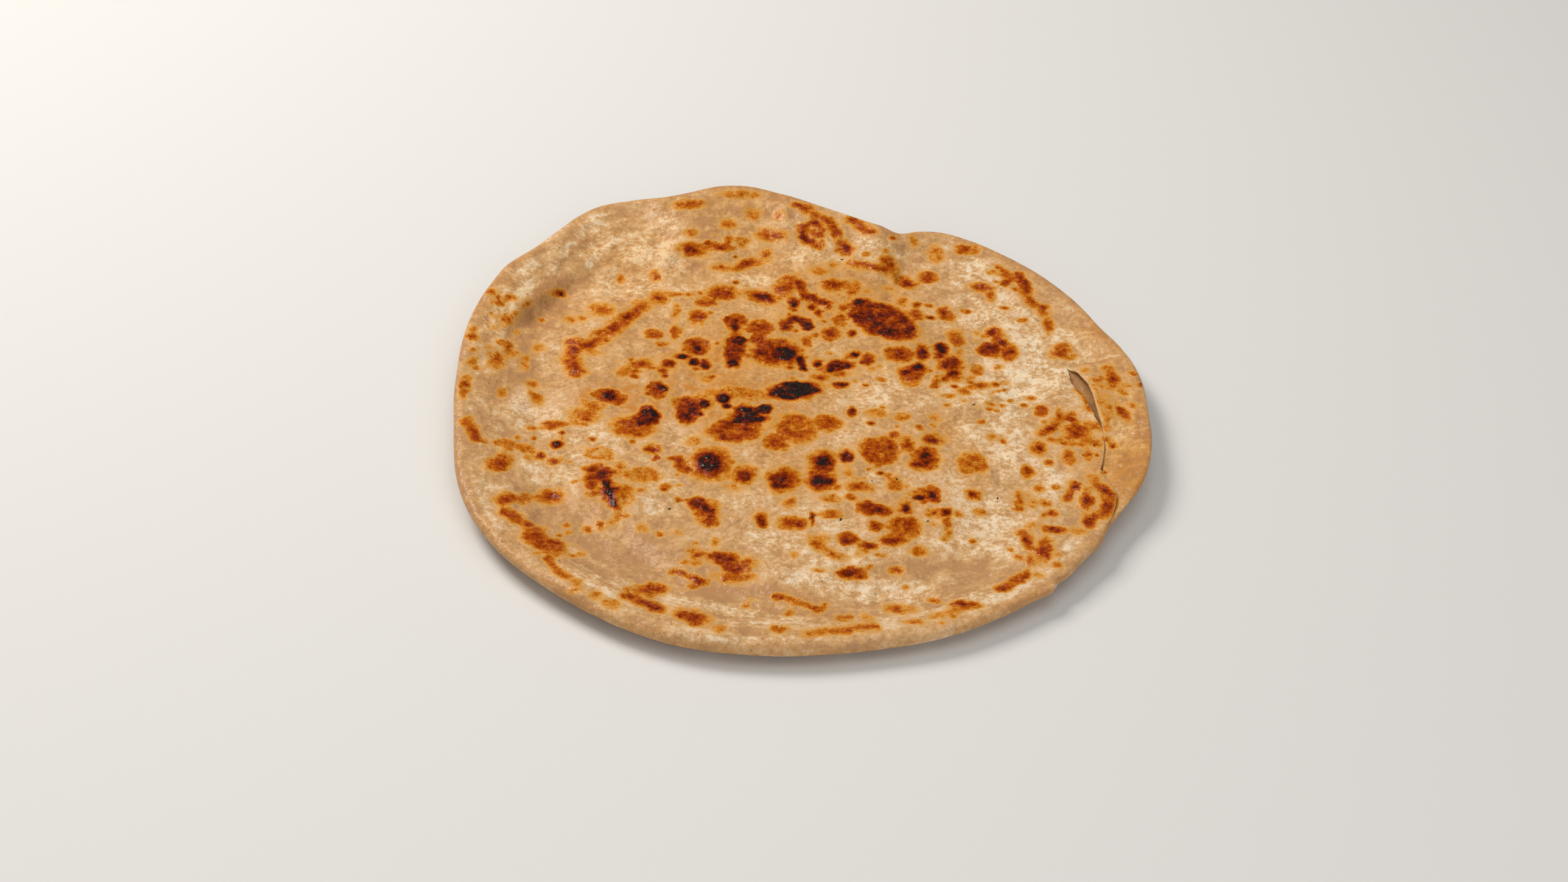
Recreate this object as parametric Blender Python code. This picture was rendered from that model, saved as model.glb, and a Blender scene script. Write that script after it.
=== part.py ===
# Butter roti: one round, hand-rolled flat bread, cooked on a griddle and lying on its underside.
# One solid: a thin disc with a puffed front edge, turned-up sides and back, and a torn pocket at the right.
# +Z is up, -Y is the near edge, the origin is under the middle of the bread. Lengths below are in mm.
import bpy
import numpy as np

for old in list(bpy.data.objects):
    bpy.data.objects.remove(old)

MM = 0.001
LEVEL = 5.0          # height of the upper face over the flat middle
THIN = 2.4           # least thickness, in the valleys
FLAT = 56.0          # radius of the flat resting spot under the middle
HEEL = 46.0          # how far in from the edge the underside starts to lift
HEEL_CURVE = 2.2     # power of the underside's upward curve
SHOULDER = 0.85      # height of the upper face at the edge over the middle line, against half the thickness
NOSE = 1.35          # width of the rounded edge, against half the thickness
VALLEY_PLACE = 0.95  # where the valley lies, against the width of the rise
VALLEY_WIDTH = 9.0
SIDES = 32           # mesh cells along each side of the square middle patch
PATCH = 0.5          # size of the middle patch against the whole disc
DISC = 115.0         # radius of the disc on which the rings are laid out
TOP_RINGS = (0, 0.35, 1.1, 2.4, 4.6, 8.0, 12.0, 16.0, 20.5, 27.0, 36.0, 46.5)     # in from the edge
UNDER_RINGS = (0.6, 1.8, 3.8, 8.0, 15.0, 25.0, 38.0)
TEAR_RING = 7        # the ring of the upper face that the tear follows

# Round the edge, by angle from +X (degrees, mm).
RADIUS = [(0, 114.2), (10, 114.5), (18, 113.4), (24, 111.7), (32, 112.2), (42, 113.1), (50, 113.5),
          (60, 113.9), (65, 112.8), (68.5, 109.3), (71.5, 102.7), (75, 102.5), (80, 104.9),
          (86, 108.0), (94, 114.4), (101, 120.4), (105, 121.6), (111, 120.6), (115, 121.2),
          (120, 125.0), (126, 128.2), (130, 127.1), (135, 124.2), (142, 121.7), (148, 122.3),
          (153, 120.4), (160, 118.3), (170, 115.0), (178, 113.0), (185, 112.6), (192, 112.9),
          (198, 114.5), (204, 116.9), (211, 119.4), (222, 121.4), (235, 121.6), (247, 122.6),
          (255, 122.4), (265, 120.7), (275, 119.0), (283, 118.1), (293, 118.3), (304, 117.4),
          (314, 116.6), (322, 115.1), (325, 115.3), (328, 114.0), (334, 113.9), (340, 115.3),
          (350, 115.4)]
EDGE_HEIGHT = [(0, 9.4), (25, 9.1), (45, 8.4), (62, 8.0), (68, 8.3), (73, 10.4), (80, 11.6), (92, 12.8),
               (102, 13.5), (112, 13.0), (124, 11.0), (140, 10.2), (160, 9.9), (180, 9.5), (200, 8.8),
               (222, 7.3), (240, 6.1), (262, 5.2), (275, 5.0), (295, 5.4), (310, 6.0), (322, 6.9),
               (332, 8.0), (342, 9.0)]
EDGE_HALF = [(0, 1.5), (60, 1.6), (95, 1.8), (115, 2.0), (135, 2.5), (160, 3.0), (200, 3.3), (225, 3.4),
             (270, 3.5), (300, 3.1), (318, 2.5), (332, 1.9), (347, 1.5)]
RISE = [(0, 40), (30, 44), (60, 50), (90, 62), (110, 58), (130, 40), (150, 27), (180, 30), (205, 30),
        (225, 27), (250, 25), (275, 26), (300, 28), (320, 32), (340, 38)]
VALLEY = [(0, 0.3), (60, 0.5), (90, 0.3), (120, 0.8), (140, 1.6), (160, 1.6), (180, 1.0), (210, 1.0),
          (230, 1.6), (260, 1.4), (285, 1.2), (310, 1.2), (330, 0.5)]

# The tear at the right: how far in from the edge its two lips lie, by angle.
TEAR_ENDS = (-6.8, 16.4)
LIP_IN = [(-6.8, 15.2), (-4.7, 15.9), (-2.7, 16.8), (-1.2, 17.7), (1.3, 18.4), (3.1, 19.5), (5.7, 20.1),
          (7.2, 21.4), (9.3, 22.1), (11.4, 22.5), (13.2, 22.0), (16.4, 20.6)]
LIP_OUT = [(-6.8, 15.2), (-4.7, 15.6), (-1.2, 16.1), (3.1, 16.8), (7.2, 17.4), (11.4, 18.3), (13.2, 18.7),
           (14.6, 19.6), (16.4, 20.6)]
MAKE_ROOM = 11.0     # the rings make room for the tear over about this distance
ROOM_ENDS = (-24, 34)     # and between these angles, fading over this many degrees at both ends
ROOM_FADE = 12
LIP_SKIN = 1.3       # thickness of the torn upper layer
INNER_DROP = 0.5     # the inner lip lies this much lower than the outer one
POCKET = 2.6         # how far the pocket runs in under each lip
FLOOR = 1.5          # bread left under the pocket
ENDS = 0.6           # power by which the pocket dies out towards the ends of the tear
RAMP = 0.6           # share of its depth that the floor climbs at the ends
# Rows of the pocket's wall from the lip down: depth against the skin, and way in against POCKET.
# The last row, with no depth, lies on the floor.
POCKET_ROWS = ((0.55, -0.25), (1.0, 0.15), (1.0, 1.0), (None, 1.0))

# Folds and creases: height (+ up, - down), half width, line of points.
FOLDS = [
    (1.4, 8.0, [(28, 98), (30, 90), (31, 80)]),                             # left lobe over the notch
    (-1.8, 6.0, [(38, 97), (37, 88), (36, 79)]),                            # dip beside it
    (1.8, 7.0, [(-103, 46), (-99, 58), (-92, 70), (-84, 80)]),              # turned-up left edge
    (-1.8, 8.0, [(-88, 14), (-86, 36), (-80, 56), (-72, 68)]),              # shaded valley inside it
    (-1.2, 5.0, [(-113, 40), (-100, 37)]),                                  # crease across the edge
    (-1.3, 9.0, [(-74, -62), (-60, -78), (-48, -86), (-24, -95), (6, -97), (36, -96)]),   # front trough
    (-0.9, 9.0, [(46, -76), (60, -82), (71, -84)]),
    (-0.8, 6.0, [(-64, -61), (-49, -74), (-24, -89)]),
    (0.9, 8.0, [(-95, -39), (-84, -67), (-74, -81), (-59, -97), (-34, -107), (-4, -111)]),
    (0.8, 6.0, [(-8, 108), (-6, 94)]),
    (0.9, 6.0, [(-44, 92), (-47, 74)]),
    (-0.9, 5.0, [(96, 32), (108, 34)]),                                     # crease above the tear
    (1.0, 5.0, [(96, 22), (99, 8), (101, -6)]),                             # raised outer lip
    (-1.3, 5.0, [(104, -38), (102, -46), (99, -56)]),                       # layer step, lower right
]
# Blisters and hollows: x, y, half length, half width, turn in degrees, height.
SWELLS = [
    (27, 53, 15, 10, -35, 1.2), (-2, -14, 18, 11, 15, 0.8), (-28, -33, 9, 9, 0, 0.7),
    (27, -22, 10, 10, 0, 0.6), (-24, 48, 16, 12, 0, 0.6), (34, -54, 14, 10, 10, 0.6),
    (-52, -45, 10, 16, 20, 0.6), (60, 28, 14, 12, 0, 0.6), (-62, -2, 14, 12, 0, -0.6),
    (8, 20, 14, 12, 0, -0.6), (66, -40, 18, 12, -20, -0.5), (-20, -60, 18, 10, 0, -0.5),
    (-14, 84, 14, 10, 0, -0.6), (58, 66, 14, 12, 30, -0.5), (-52, 62, 16, 12, 30, 0.7),
    (88, 6, 8, 16, 0, 0.5), (80, -58, 12, 14, 40, 0.5),
]


def ring(deg, rows):
    """Smooth closed curve through (angle, value) rows."""
    a = np.array([r[0] for r in rows], float)
    v = np.array([r[1] for r in rows], float)
    a = np.concatenate([a - 360, a, a + 360])
    v = np.tile(v, 3)
    slope = np.gradient(v, a)
    deg = np.mod(deg, 360.0)
    k = np.clip(np.searchsorted(a, deg, side="right") - 1, 0, len(a) - 2)
    w = a[k + 1] - a[k]
    t = (deg - a[k]) / w
    return (v[k] * (1 + 2 * t) * (1 - t) ** 2 + slope[k] * w * t * (1 - t) ** 2
            + v[k + 1] * t * t * (3 - 2 * t) + slope[k + 1] * w * t * t * (t - 1))


def lip_radius(deg, rows):
    return ring(deg, RADIUS) - np.interp(deg, [r[0] for r in rows], [r[1] for r in rows])


def off_line(x, y, points):
    """Distance to a line of points."""
    best = np.full(np.shape(x), 1e9)
    for (ax, ay), (bx, by) in zip(points[:-1], points[1:]):
        dx, dy = bx - ax, by - ay
        t = np.clip(((x - ax) * dx + (y - ay) * dy) / (dx * dx + dy * dy), 0, 1)
        best = np.minimum(best, np.hypot(x - ax - t * dx, y - ay - t * dy))
    return best


def polar(x, y):
    return np.degrees(np.arctan2(y, x)), np.hypot(x, y)


def at(deg, r):
    """Plan position of polar places."""
    return np.stack([r * np.cos(np.radians(deg)), r * np.sin(np.radians(deg))], -1)


def under_face(x, y):
    """Height of the underside: flat in the middle, lifting towards the edge."""
    deg, r = polar(x, y)
    reach = ring(deg, RADIUS)
    s = np.clip(1 - (reach - r) / np.minimum(HEEL, reach - FLAT), 0, 1)
    return (ring(deg, EDGE_HEIGHT) - ring(deg, EDGE_HALF)) * s ** HEEL_CURVE


def top_face(x, y):
    """Height of the upper face before the edge is rounded off."""
    deg, r = polar(x, y)
    inside = np.maximum(ring(deg, RADIUS) - r, 0)
    rise = ring(deg, RISE)
    edge = ring(deg, EDGE_HEIGHT) + SHOULDER * ring(deg, EDGE_HALF)
    s = np.clip(1 - inside / rise, 0, 1)
    z = LEVEL + (edge - LEVEL) * s * s * (1.5 - 0.5 * s)
    z = z - ring(deg, VALLEY) * np.exp(-((inside - VALLEY_PLACE * rise) / VALLEY_WIDTH) ** 2)
    for height, width, points in FOLDS:
        z = z + height * np.exp(-(off_line(x, y, points) / width) ** 2)
    for cx, cy, a, b, turn, height in SWELLS:
        c, s = np.cos(np.radians(turn)), np.sin(np.radians(turn))
        u, v = (x - cx) * c + (y - cy) * s, (y - cy) * c - (x - cx) * s
        z = z + height * np.exp(-((u / a) ** 2 + (v / b) ** 2))
    spare = z - under_face(x, y) - THIN     # eased off where the bread would get too thin
    return z - spare + (spare + np.sqrt(spare * spare + 1)) / 2


def round_edge(x, y, z):
    """Bring a face round to the middle height of the edge over the last few millimetres."""
    deg, r = polar(x, y)
    t = np.clip((ring(deg, RADIUS) - r) / (NOSE * ring(deg, EDGE_HALF)), 0, 1)
    mid = ring(deg, EDGE_HEIGHT)
    return mid + (z - mid) * np.sqrt(1 - (1 - t) ** 2)


def net(sides, rings):
    """Plan of one face, rings of points and a square patch: points, ids of the rings, ids of the patch."""
    n = 4 * sides
    ang = np.radians(-45 + 90.0 * np.arange(n) / sides)
    p = np.linspace(-1, 1, sides + 1)
    q, pp = np.meshgrid(p, p, indexing="ij")
    px, py = pp * np.sqrt(1 - 0.25 * q * q), q * np.sqrt(1 - 0.25 * pp * pp)
    walk = ([(j, sides) for j in range(sides)] + [(sides, sides - j) for j in range(sides)]
            + [(sides - j, 0) for j in range(sides)] + [(0, j) for j in range(sides)])
    rim = np.array([(px[w], py[w]) for w in walk]) * PATCH
    pts, ids = [], []
    for e in rings:
        s = e / (DISC * (1 - PATCH))
        ids.append(np.arange(n) + n * len(ids))
        pts.append(np.stack([np.cos(ang), np.sin(ang)], 1) * (1 - s) + rim * s)
    patch = n * len(ids) + np.arange((sides + 1) ** 2).reshape(sides + 1, sides + 1)
    pts.append(np.stack([px.ravel(), py.ravel()], 1) * PATCH)
    ids.append(np.array([patch[w] for w in walk]))
    pts = np.concatenate(pts)
    deg, rho = polar(pts[:, 0], pts[:, 1])
    return at(deg, rho * (DISC + (ring(deg, RADIUS) - DISC) * rho ** 2)), ids, patch


def quads(ids, patch):
    faces = []
    for outer, inner in zip(ids[:-1], ids[1:]):
        for i in range(len(outer)):
            j = (i + 1) % len(outer)
            faces.append((outer[i], outer[j], inner[j], inner[i]))
    for a in range(patch.shape[0] - 1):
        for b in range(patch.shape[1] - 1):
            faces.append((patch[a, b], patch[a, b + 1], patch[a + 1, b + 1], patch[a + 1, b]))
    return faces


def strip(upper, lower):
    """Faces between two rows of points that share both end points."""
    made = []
    for k in range(len(upper) - 1):
        face = [upper[k], lower[k], lower[k + 1], upper[k + 1]]
        made.append(tuple(v for m, v in enumerate(face) if v not in face[:m]))
    return made


# Upper face: the rings near the tear are drawn out to its two lips.
plan, ids, patch = net(SIDES, TOP_RINGS)
deg, r = polar(plan[:, 0], plan[:, 1])
tear = ids[TEAR_RING]
order = np.argsort(deg[tear])
tear_r = np.interp(deg, deg[tear][order], r[tear][order], period=360)
near = np.exp(-((r - tear_r) / MAKE_ROOM) ** 2)
near *= np.clip((deg - ROOM_ENDS[0]) / ROOM_FADE, 0, 1) * np.clip((ROOM_ENDS[1] - deg) / ROOM_FADE, 0, 1)
inside_tear = (r < tear_r - 0.01) & ~np.isin(np.arange(len(r)), tear)
lip = np.where(inside_tear, lip_radius(deg, LIP_IN), lip_radius(deg, LIP_OUT))
verts = at(deg, r + (lip - tear_r) * near)

row = list(tear[order])
span = [v for v in row if TEAR_ENDS[0] < deg[v] < TEAR_ENDS[1]]
first, last = row[row.index(span[0]) - 1], row[row.index(span[-1]) + 1]
for v, end in ((first, TEAR_ENDS[0]), (last, TEAR_ENDS[1])):
    verts[v] = at(end, lip_radius(end, LIP_IN))

inner = [len(verts) + k for k in range(len(span))]
copy_of = dict(zip(span, inner))
verts = np.concatenate([verts, at(deg[span], lip_radius(deg[span], LIP_IN))])
inside_ring = set(ids[TEAR_RING + 1])
faces = [tuple(copy_of.get(v, v) for v in f) if inside_ring & set(f) else f for f in quads(ids, patch)]
z = round_edge(verts[:, 0], verts[:, 1], top_face(verts[:, 0], verts[:, 1]))
z[inner] -= INNER_DROP
points = [(x, y, h) for (x, y), h in zip(verts, z)]

# Pocket behind the lips: down the torn edges, in under both layers, and across the floor.
above_in, above_out = inner, span
for depth, way in POCKET_ROWS:
    below_in, below_out = [], []
    for k, (a, b) in enumerate(zip(inner, span)):
        ease = np.sin(np.pi * (k + 1) / (len(span) + 1)) ** ENDS
        for v, side, made in ((a, -1, below_in), (b, 1, below_out)):
            x, y, h = points[v]
            f = 1 + side * way * POCKET * ease / np.hypot(x, y)
            floor = float(under_face(np.array(x * f), np.array(y * f))) + FLOOR
            drop = (h - floor) * (1 - RAMP * (1 - ease)) if depth is None else depth * LIP_SKIN * ease
            made.append(len(points))
            points.append((x * f, y * f, max(float(h - drop), floor)))
    faces += strip([first] + above_in + [last], [first] + below_in + [last])
    faces += strip([first] + below_out + [last], [first] + above_out + [last])
    above_in, above_out = below_in, below_out
faces += strip([first] + above_in + [last], [first] + above_out + [last])

# Underside at half the density, joined to the rim.
plan, low_ids, low_patch = net(SIDES // 2, UNDER_RINGS)
z = round_edge(plan[:, 0], plan[:, 1], under_face(plan[:, 0], plan[:, 1]))
z[plan[:, 0] ** 2 + plan[:, 1] ** 2 < FLAT ** 2] = 0
shift = len(points)
points += [(x, y, h) for (x, y), h in zip(plan, z)]
faces += [tuple(v + shift for v in f[::-1]) for f in quads(low_ids, low_patch)]
rim, low = ids[0], low_ids[0] + shift
for j in range(len(low)):
    k = (j + 1) % len(low)
    a, b, c = rim[2 * j], rim[2 * j + 1], rim[(2 * j + 2) % len(rim)]
    faces += [(b, a, low[j]), (b, low[j], low[k]), (c, b, low[k])]

mesh = bpy.data.meshes.new("roti")
mesh.from_pydata([(x * MM, y * MM, h * MM) for x, y, h in points], [],
                 [tuple(int(v) for v in f) for f in faces])
mesh.validate()
mesh.update()
for polygon in mesh.polygons:
    polygon.use_smooth = True
roti = bpy.data.objects.new("roti", mesh)
bpy.context.scene.collection.objects.link(roti)

crust = bpy.data.materials.new("wheat_crust")
crust.use_nodes = True
shader = crust.node_tree.nodes["Principled BSDF"]
shader.inputs["Base Color"].default_value = (0.58, 0.36, 0.17, 1)
shader.inputs["Roughness"].default_value = 0.45
mesh.materials.append(crust)
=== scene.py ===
import math

import bpy
import numpy as np
from mathutils import Matrix, Vector


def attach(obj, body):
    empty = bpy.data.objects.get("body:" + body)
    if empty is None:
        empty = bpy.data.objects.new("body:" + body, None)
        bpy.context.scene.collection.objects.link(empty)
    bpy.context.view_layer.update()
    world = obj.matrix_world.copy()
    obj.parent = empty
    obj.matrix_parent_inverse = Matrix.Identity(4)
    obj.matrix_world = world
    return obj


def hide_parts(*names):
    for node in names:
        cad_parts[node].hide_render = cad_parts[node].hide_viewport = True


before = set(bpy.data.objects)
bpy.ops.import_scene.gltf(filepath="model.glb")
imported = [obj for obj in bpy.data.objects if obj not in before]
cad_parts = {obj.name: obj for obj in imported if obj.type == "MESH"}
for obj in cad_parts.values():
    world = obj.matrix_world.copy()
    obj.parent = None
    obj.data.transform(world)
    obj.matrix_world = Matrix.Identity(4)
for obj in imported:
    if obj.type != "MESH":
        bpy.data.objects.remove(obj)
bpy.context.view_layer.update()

# ---- Table, light and camera ----
# A plain pale table top, a large soft window-like light from above and behind, and a weak fill from the
# front. The bread lies flat on the table, and the camera looks down on it from the near side.


def tone(hex_text):
    """An sRGB hex colour as the linear values that Blender's sockets take."""
    parts = [int(hex_text[i:i + 2], 16) / 255 for i in (1, 3, 5)]
    return tuple(c / 12.92 if c <= 0.04045 else ((c + 0.055) / 1.055) ** 2.4 for c in parts) + (1.0,)


def add(tree, kind, inputs=None, **settings):
    """Adds one node. An input is a value, or another node's socket, which gets linked."""
    made = tree.nodes.new(kind)
    for name, value in settings.items():
        setattr(made, name, value)
    for name, value in (inputs or {}).items():
        if isinstance(value, bpy.types.NodeSocket):
            tree.links.new(value, made.inputs[name])
        else:
            made.inputs[name].default_value = value
    return made


def fresh_material(name):
    """A new node material, and its shader."""
    material = bpy.data.materials.new(name)
    material.use_nodes = True
    return material, material.node_tree, material.node_tree.nodes["Principled BSDF"]


def put_in_scene(name, data):
    """A new object at the origin, in the scene."""
    made = bpy.data.objects.new(name, data)
    bpy.context.scene.collection.objects.link(made)
    return made


TABLE_HALF = 4.0
TABLE_DROP = 0.0001          # a hair under the bread, so that the two faces don't share a plane
TABLE_CORNERS = ((-1, -1), (1, -1), (1, 1), (-1, 1))
table_mesh = bpy.data.meshes.new("table_top")
table_mesh.from_pydata([(x * TABLE_HALF, y * TABLE_HALF, -TABLE_DROP) for x, y in TABLE_CORNERS],
                       [], [(0, 1, 2, 3)])
table_top = put_in_scene("table_top", table_mesh)
# Flat pale paint, dull enough to take a soft shadow without a glare.
table_paint, tree, shader = fresh_material("pale_table")
shader.inputs["Base Color"].default_value = tone("#D9D8D5")
shader.inputs["Roughness"].default_value = 0.8
table_mesh.materials.append(table_paint)

LAMPS = [  # name, place in metres, size in metres, watts, colour
    ("soft_window", (-0.75, 0.60, 1.00), 0.6, 16.0, "#FFF9F2"),
    ("overhead", (0.15, -0.15, 1.45), 1.2, 5.5, "#FFFDFA"),
    ("front_fill", (0.35, -1.3, 0.65), 0.9, 6.5, "#FAF8F6"),
]
for name, place, size, watts, colour in LAMPS:
    lamp = bpy.data.lights.new(name, "AREA")
    lamp.size = size
    lamp.energy = watts
    lamp.color = tone(colour)[:3]
    held = put_in_scene(name, lamp)
    held.location = place
    held.rotation_euler = (-Vector(place)).to_track_quat("-Z", "Y").to_euler()

room = bpy.data.worlds.new("room")
bpy.context.scene.world = room
room.use_nodes = True
room.node_tree.nodes["Background"].inputs["Color"].default_value = tone("#F2F3F5")
room.node_tree.nodes["Background"].inputs["Strength"].default_value = 0.25
bpy.context.scene.view_settings.view_transform = "Standard"

CAMERA_PLACE = Vector((-0.00426, -0.68393, 0.52346))
CAMERA_AIM = Vector((-0.00448, -0.01878, 0.005))
CAMERA_ROLL = math.radians(2.724)     # the right side of the bread lies a little lower in view
lens = bpy.data.cameras.new("camera")
lens.lens = 60.0
lens.sensor_width = 36.0
camera = put_in_scene("camera", lens)
facing = (CAMERA_AIM - CAMERA_PLACE).to_track_quat("-Z", "Y").to_matrix().to_4x4()
camera.matrix_world = Matrix.Translation(CAMERA_PLACE) @ facing @ Matrix.Rotation(CAMERA_ROLL, 4, "Z")
bpy.context.scene.camera = camera

# ---- The bread ----
# One round of soft wheat dough, rolled by hand, folded with butter and cooked on an iron griddle: a thin disc
# with a puffed near edge, a turned-up left side and back, and a torn pocket at the right. It is one closed
# skin, a fine copy of the CAD solid. Lengths are in mm until the mesh is made.

MM = 0.001
LEVEL = 5.0          # height of the upper face over the flat middle
THIN = 2.4           # least thickness of the large shape, in the valleys
BARE = 1.4           # least thickness under the finest creases
PLAN_SHIFT = (4.25, -0.71)     # the marks are set out from a point this far off the middle
FLAT = 56.0          # radius of the flat resting spot
HEEL = 46.0          # how far in from the edge the underside starts to lift
HEEL_CURVE = 2.2     # how slowly it leaves the table
CROWN = 0.85         # the rise ends this share of the edge's half thickness over its middle line
ROUNDING = 1.35      # the edge is rounded off over this many of its half thicknesses
VALLEY_PLACE = 0.95  # the valley lies at this share of the rise
VALLEY_WIDTH = 9.0
DISC = 115.0         # radius that the mesh plan is laid out on
PATCH = 0.5          # size of the square middle patch against the whole disc

# Round the edge, by angle from +X in degrees: reach from the middle, height of the edge's middle line, half
# its thickness, how far in the upper face starts to rise, and depth of the valley at the foot of the rise.
RADIUS = [
    (0, 114.2), (10, 114.5), (18, 113.4), (24, 111.7), (32, 112.2), (42, 113.1), (50, 113.5), (60, 113.9),
    (65, 112.8), (68.5, 109.3), (71.5, 102.7), (75, 102.5), (80, 104.9), (86, 108), (94, 114.4),
    (101, 120.4), (105, 121.6), (111, 120.6), (115, 121.2), (120, 125), (126, 128.2), (130, 127.1),
    (135, 124.2), (142, 121.7), (148, 122.3), (153, 120.4), (160, 118.3), (170, 115), (178, 113),
    (185, 112.6), (192, 112.9), (198, 114.5), (204, 116.9), (211, 119.4), (222, 121.4), (235, 121.6),
    (247, 122.6), (255, 122.4), (265, 120.7), (275, 119), (283, 118.1), (293, 118.3), (304, 117.4),
    (309, 117.2), (312.5, 117.6), (313.6, 116.5), (316, 116.3), (322, 115.1), (325, 115.3), (328, 114),
    (334, 113.9), (340, 115.3), (350, 115.4),
]
EDGE_HEIGHT = [
    (0, 9.4), (25, 9.1), (45, 8.4), (62, 8), (68, 8.3), (73, 10.4), (80, 11.6), (92, 12.8), (102, 13.5),
    (112, 13), (124, 11), (140, 10.2), (160, 9.9), (180, 9.5), (200, 8.8), (222, 7.3), (240, 6.1),
    (262, 5.2), (275, 5), (295, 5.4), (310, 6), (322, 6.9), (332, 8), (342, 9),
]
EDGE_HALF = [
    (0, 1.5), (60, 1.6), (95, 1.8), (115, 2), (135, 2.5), (160, 3), (200, 3.3), (225, 3.4), (270, 3.5),
    (300, 3.1), (318, 2.5), (332, 1.9), (347, 1.5),
]
RISE = [
    (0, 40), (30, 44), (60, 50), (90, 62), (110, 58), (130, 40), (150, 27), (180, 30), (205, 30), (225, 27),
    (250, 25), (275, 26), (300, 28), (320, 32), (340, 38),
]
VALLEY = [
    (0, .3), (60, .5), (90, .3), (120, .8), (140, 1.6), (160, 1.6), (180, 1), (210, 1), (230, 1.6),
    (260, 1.4), (285, 1.2), (310, 1.2), (330, .5),
]

# Folds and creases: height (+ up, - down), half width, line of points.
BROAD_FOLDS = [
    (1.4, 8.0, [(28, 98), (30, 90), (31, 80)]),
    (-1.8, 6.0, [(38, 97), (37, 88), (36, 79)]),
    (1.8, 7.0, [(-103, 46), (-99, 58), (-92, 70), (-84, 80)]),
    (-1.8, 8.0, [(-88, 14), (-86, 36), (-80, 56), (-72, 68)]),
    (-1.2, 5.0, [(-113, 40), (-100, 37)]),
    (-1.3, 9.0, [(-74, -62), (-60, -78), (-48, -86), (-24, -95), (6, -97), (36, -96)]),
    (-0.9, 9.0, [(46, -76), (60, -82), (71, -84)]),
    (-0.8, 6.0, [(-64, -61), (-49, -74), (-24, -89)]),
    (0.9, 8.0, [(-95, -39), (-84, -67), (-74, -81), (-59, -97), (-34, -107), (-4, -111)]),
    (0.8, 6.0, [(-8, 108), (-6, 94)]),
    (0.9, 6.0, [(-44, 92), (-47, 74)]),
    (-0.9, 5.0, [(96, 32), (108, 34)]),
    (1.0, 5.0, [(96, 22), (99, 8), (101, -6)]),
]
FINE_FOLDS = [
    (-0.9, 1.4, [(-114, 34), (-109, 33.5), (-103, 32), (-99, 30)]),  # crease across the left edge
    (0.5, 2.0, [(-82, 68), (-76, 75), (-73, 80)]),  # pale curl at the top of the wall
    (-0.4, 1.2, [(-72, 62), (-73, 70), (-71, 76)]),
    (-0.8, 1.6, [(92, 29), (100, 31), (108, 33)]),  # crease above the tear
    (-0.35, 1.1, [(62.5, 70), (63.5, 58), (62.5, 49)]),
    (-0.25, 1.1, [(60, 73), (58, 57)]),
    (-0.35, 1.1, [(87, 46), (91, 38)]),
    (0.5, 1.8, [(-8, 108), (-7.5, 102), (-6, 94), (-4, 88)]),  # rib in the back lobe
    (-0.5, 1.4, [(-5.6, 108), (-5, 101), (-3.5, 94)]),
    (0.4, 1.6, [(-2, 90), (3, 86), (10, 87)]),
    (-0.7, 1.6, [(33.5, 98), (34.5, 90), (35, 82), (33, 74)]),  # the dip below the notch
    (-0.35, 0.9, [(-35, -38), (-31, -43), (-24, -45.4), (-19, -43)]),  # under the dark blister
    (-0.45, 1.6, [(-55, -68), (-48, -77), (-37, -87), (-20, -92)]),
    (0.35, 1.8, [(-50, -64), (-44, -73), (-34, -82)]),
    (-0.4, 1.6, [(-72, -46), (-71, -56), (-62, -66)]),
    (-0.35, 1.4, [(-16, -84), (0, -89), (14, -88), (26, -90)]),
    (0.3, 1.6, [(-10, -80), (6, -84), (22, -85), (36, -83)]),
    (-0.3, 1.4, [(44, -84), (56, -80), (66, -73)]),
    (0.35, 1.5, [(-62, 104), (-56, 108), (-48, 110)]),  # wrinkles at the back left
    (-0.4, 1.2, [(-58, 110), (-57, 104), (-58, 98)]),
    (-0.35, 1.2, [(-52, 112), (-50, 105), (-49, 99)]),
    (0.45, 2.0, [(-46, 92), (-47, 84), (-50, 74), (-47, 66)]),
    (-0.3, 1.2, [(-90, 8), (-84, 2), (-78, -6), (-70, -12)]),
    (-0.3, 1.3, [(30, -14), (33, -26), (30, -34)]),
    (-0.3, 1.2, [(52, -8), (60, -18), (66, -34)]),
    (-0.35, 1.2, [(62, -95), (72, -89), (78.5, -85.5)]),  # lap in the near right edge
    (-0.25, 1.2, [(-34, 32), (-22, 22), (-10, 26), (2, 22), (12, 28)]),
    (0.3, 1.6, [(-84, 36), (-83, 24), (-84, 8)]),
]
# Scarps: the face is this much higher on the left of the line than on its right, over this half width. The
# first runs inside the turned-up left, and the second is the left lobe over the notch.
SCARPS = [
    (1.7, 1.8, [(-99.5, 26), (-97.5, 36), (-95, 42), (-90, 51), (-86, 58), (-81, 67)]),
    (0.8, 2.0, [(31, 101), (33.5, 92), (33, 82)]),
]
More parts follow.
